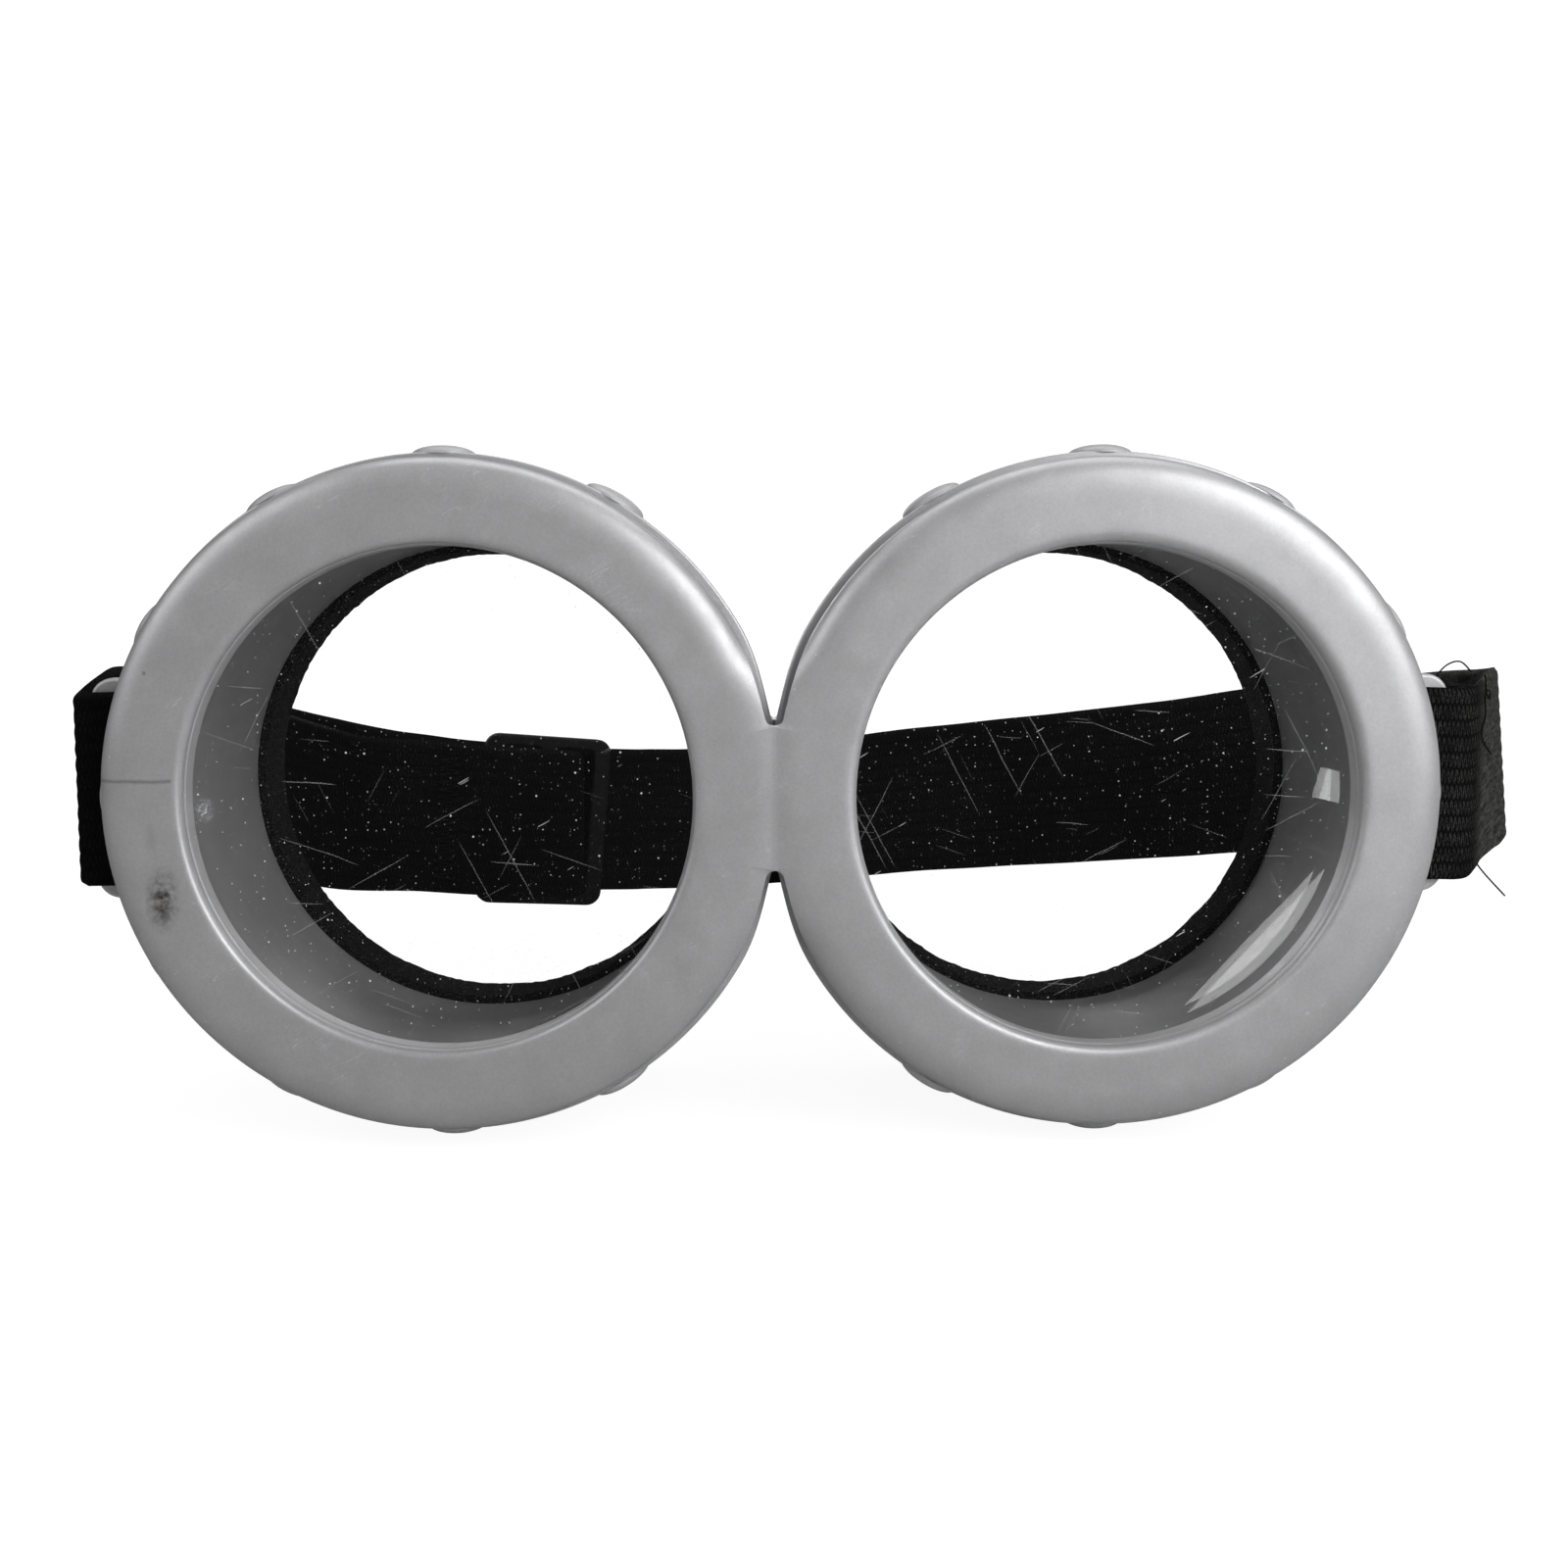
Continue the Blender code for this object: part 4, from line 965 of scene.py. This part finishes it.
def sewn_route():
    """From the return layer, over the centre bar, around it and back, in slider axes."""
    near, far, turn_s = NEAR_LAYER, FAR_LAYER, -4.4
    route = [(30.0, far), (22.0, far), (13.0, far), (8.0, far), (4.0, near + 0.6), (0.8, near),
             (-2.0, near)]
    for a in range(90, 271, 30):
        route.append((turn_s + near * math.cos(math.radians(a)), near * math.sin(math.radians(a))))
    return route + [(-2.0, -near), (0.8, -near), (2.2, -near + 0.6), (4.4, 0.0),
                    (6.7, near - 0.2), (8.4, near), (13.0, near), (25.0, near)]


def in_slider(point):
    """Near the slider the webbing sits a little high, and its slots pinch it."""
    middle, along, inward, _ = slider_frame()
    away = point + place(0, 0) - middle
    held, eased, slot_depth = 10 * MM, 8 * MM, 0.9 * MM
    near = 1 - smoothstep((away.dot(along) - held) / eased)
    pinch = 1 - smoothstep((abs(away.dot(inward)) - slot_depth) / slot_depth)
    return SLIDER_LIFT * near, 1 - SLIDER_PINCH * near * pinch


def build_strap(knit, thread):
    band = smooth_route(in_metres(BAND_ROUTE))
    on_band = [p for p in band if SEAM_TO_X < p.x < SEAM_FROM_X and p.y > 50 * MM]
    seam = offset(on_band, -LAYER_PITCH)[::SEAM_EVERY][::-1]
    whole = seam + in_metres(TAIL_ROUTE + BAND_ROUTE + LOOP_LEFT_ROUTE)
    strap, travel = webbing("strap_webbing", evenly(smooth_route(whole)), knit)
    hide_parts("strap_band", "strap_tail", "strap_loop_left", "strap_loop_right")
    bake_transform(strap)
    on_slider = [slider_point(s * MM, n * MM) - place(0, 0) for s, n in sewn_route()]
    # the left loop's last stretch leads into the curve and is then left out
    points = smooth_route(in_metres(LOOP_LEFT_ROUTE[-2:-1] + RETURN_ROUTE) + on_slider)
    points = points[ROUTE_STEPS:]
    back, _ = webbing("return_webbing", evenly(points), knit, travel, in_slider)
    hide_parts("strap_return", "slider_loop")
    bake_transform(back)
    build_stitches(thread, [Vector(p) for p in whole[:4]])


def thread_curve(name, points, radius, material):
    curve = bpy.data.curves.new(name, "CURVE")
    curve.dimensions, curve.use_fill_caps = "3D", True
    curve.bevel_depth, curve.bevel_resolution = radius, 2
    spline = curve.splines.new("POLY")
    spline.points.add(len(points) - 1)
    for target, point in zip(spline.points, points):
        target.co = (*point, 1.0)
    curve.materials.append(material)
    obj = bpy.data.objects.new(name, curve)
    bpy.context.scene.collection.objects.link(obj)
    return obj


def zigzag(middle, along, normal, up):
    """Rows of stitches that cross a sewn end from edge to edge."""
    points = []
    for step in range(TACK_TURNS + 1):
        level = -TACK_HEIGHT / 2 + TACK_HEIGHT * step / TACK_TURNS
        side = TACK_LENGTH / 2 * (1 if step % 2 else -1)
        points.append(middle + along * side + up * level - normal * 0.05 * MM)
        points.append(middle + along * side + up * (level + 0.12 * MM) + normal * 0.12 * MM)
    return points


def build_stitches(thread, seam):
    stand_off = STRAP_THICKNESS / 2 + 0.12 * MM
    along = (seam[1] - seam[3]).normalized()
    normal, up = section_axes(along)
    _, along_slider, inward, up_slider = slider_frame()
    tacks = (
        ("right", "strap", place(*seam[1]) - normal * stand_off, along, -normal, up),
        ("slider", "slider", slider_point(TACK_S, FAR_LAYER * MM) + inward * stand_off,
         along_slider, inward, up_slider),
    )
    for word, body, middle, *axes in tacks:
        tack = thread_curve(f"bar_tack_{word}_stitches", zigzag(middle, *axes), STITCH_R, thread)
        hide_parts(f"bar_tack_{word}")
        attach(tack, body)


def build_slider(plastic):
    """Three-bar slider with rounded edges."""
    length, height, thick = 21.5 * MM, 28.6 * MM, 2.0 * MM
    corner, bar, centre_bar, rail, slot_corner = 2.4 * MM, 3.0 * MM, 2.6 * MM, 2.0 * MM, 0.8 * MM
    half, tall = length / 2, height / 2
    upper = [(-half, 0.0)]
    upper += arc_points((-half + corner, tall - corner), corner, 180, 90, 6)
    upper += arc_points((half - corner, tall - corner), corner, 90, 0, 6)
    upper.append((half, 0.0))
    for low, high in ((centre_bar / 2, half - bar), (-half + bar, -centre_bar / 2)):
        upper += slot_outline(low, high, tall - rail, slot_corner, 2)
    slider = plate_of("slider_frame_moulding", upper, thick,
                      lambda u, v, w: slider_point(u, w, v), plastic, 0.45 * MM, 3)
    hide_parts("slider_buckle")
    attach(slider, "slider")


def build_loose_threads(thread):
    """Three stray ends of sewing thread at the fold of the right-hand loop."""
    for name, route in LOOSE_THREADS.items():
        points = smooth_route(in_metres(route), 8)
        stray = thread_curve(name, [place(*p) for p in points], LOOSE_THREAD_R, thread)
        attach(stray, "goggles")


# ---- studio

def build_camera():
    data = bpy.data.cameras.new("camera")
    data.lens, data.sensor_width = LENS_LENGTH, SENSOR_WIDTH
    data.clip_start = 0.01
    camera = bpy.data.objects.new("camera", data)
    bpy.context.scene.collection.objects.link(camera)
    turn = (Matrix.Rotation(math.radians(CAMERA_PAN), 4, "Z")
            @ Matrix.Rotation(math.radians(CAMERA_TIP), 4, "X")
            @ Matrix.Rotation(math.radians(CAMERA_ROLL), 4, "Z"))
    camera.matrix_world = Matrix.Translation(place(*CAMERA_PLACE)) @ turn
    bpy.context.scene.camera = camera


def area_light(name, position, size, power):
    data = bpy.data.lights.new(name, "AREA")
    data.shape = "RECTANGLE"
    data.size, data.size_y = size
    data.energy = power
    light = bpy.data.objects.new(name, data)
    bpy.context.scene.collection.objects.link(light)
    target = place(0, 20 * MM)
    light.location = position
    light.rotation_euler = (target - Vector(position)).to_track_quat("-Z", "Y").to_euler()
    return light


def build_studio():
    scene = bpy.context.scene
    scene.view_settings.view_transform = "Standard"
    world = bpy.data.worlds.new("studio")
    scene.world = world
    world.use_nodes = True
    tree = world.node_tree
    background = tree.nodes["Background"]
    seen = tree.nodes.new("ShaderNodeBackground")
    for shader, strength in ((background, AMBIENT), (seen, WHITE)):
        shader.inputs["Color"].default_value = (1, 1, 1, 1)
        shader.inputs["Strength"].default_value = strength
    path = tree.nodes.new("ShaderNodeLightPath")
    mix = tree.nodes.new("ShaderNodeMixShader")
    for value, socket in zip((path.outputs["Is Camera Ray"], background.outputs[0],
                              seen.outputs[0]), mix.inputs):
        tree.links.new(value, socket)
    tree.links.new(mix.outputs[0], tree.nodes["World Output"].inputs["Surface"])
    for name, position, size, power in SOFT_LIGHTS:
        area_light(name, position, size, power)
    area_light(*FRONT_LIGHT).visible_glossy = False
    build_cards()
    build_floor()


def build_cards():
    """Bright cards low on the right; only the lenses mirror them."""
    lenses = bpy.data.collections.new("lenses")
    for word in ("left", "right"):
        lenses.objects.link(bpy.data.objects[f"lens_{word}_sheet"])
    for (x, z), (width, height), turn_deg in CARDS:
        size = (width * MM, height * MM)
        power = CARD_RADIANCE * math.pi * size[0] * size[1]
        card = area_light("lens_card", place(x * MM, CARD_D, z * MM), size, power)
        card.rotation_euler = (Matrix.Rotation(math.radians(90), 4, "X")
                               @ Matrix.Rotation(math.radians(turn_deg), 4, "Z")).to_euler()
        card.visible_camera = card.visible_diffuse = False
        card.light_linking.receiver_collection = lenses


def build_floor():
    """Pale floor that turns into the backdrop's white away from the goggles."""
    bm = bmesh.new()
    bmesh.ops.create_circle(bm, cap_ends=True, radius=FLOOR_R, segments=64)
    s = Shader("pale_floor")
    x, y, _ = s.separate(s.coords)
    distance = s.math("SQRT", s.math("ADD", s.times(x, x), s.times(y, y)))
    far = s.ramp(distance, [(0.10, 0.80), (0.40, 1.0)])
    s.set(Base_Color=s.ramp(s.noise(0.01, 2.0), [(0.3, 0.90), (0.7, 0.93)]), Roughness=0.9)
    glow = s.node("ShaderNodeEmission", {"Strength": WHITE})
    path = s.node("ShaderNodeLightPath")
    share = s.times(far, path.outputs["Is Camera Ray"])
    pale = s.shade(s.mix_shader(share, s.surface.outputs[0], glow.outputs[0]))
    floor = finish_mesh("floor", bm, pale)
    floor.location.z = -FLOOR_GAP
    floor.visible_glossy = False


def main():
    noise.seed_set(NOISE_SEED)
    build_camera()
    # the third material is a darker, glossier copy of the silver for the tubes' inside: painted
    # shade
    build_cups(satin_plastic("satin_silver", 0.50, marks=frame_marks),
               satin_plastic("satin_silver_shell", 0.50),
               satin_plastic("satin_silver_inside_shaded", 0.30, metallic=0.40, roughness=0.30,
                             grain=0.3))
    build_rivets(satin_plastic("satin_silver_rivet", 0.46, metallic=0.35, roughness=0.5))
    build_lenses(lens_material(),
                 satin_plastic("snap_ring_plastic", 0.22, metallic=0.2, roughness=0.5))
    build_foam(foam_material())
    build_lugs(satin_plastic("satin_silver_lug", 0.50, metallic=0.4))
    thread = thread_material()
    build_strap(webbing_material(), thread)
    build_slider(black_plastic_material())
    build_loose_threads(thread)
    build_studio()


main()
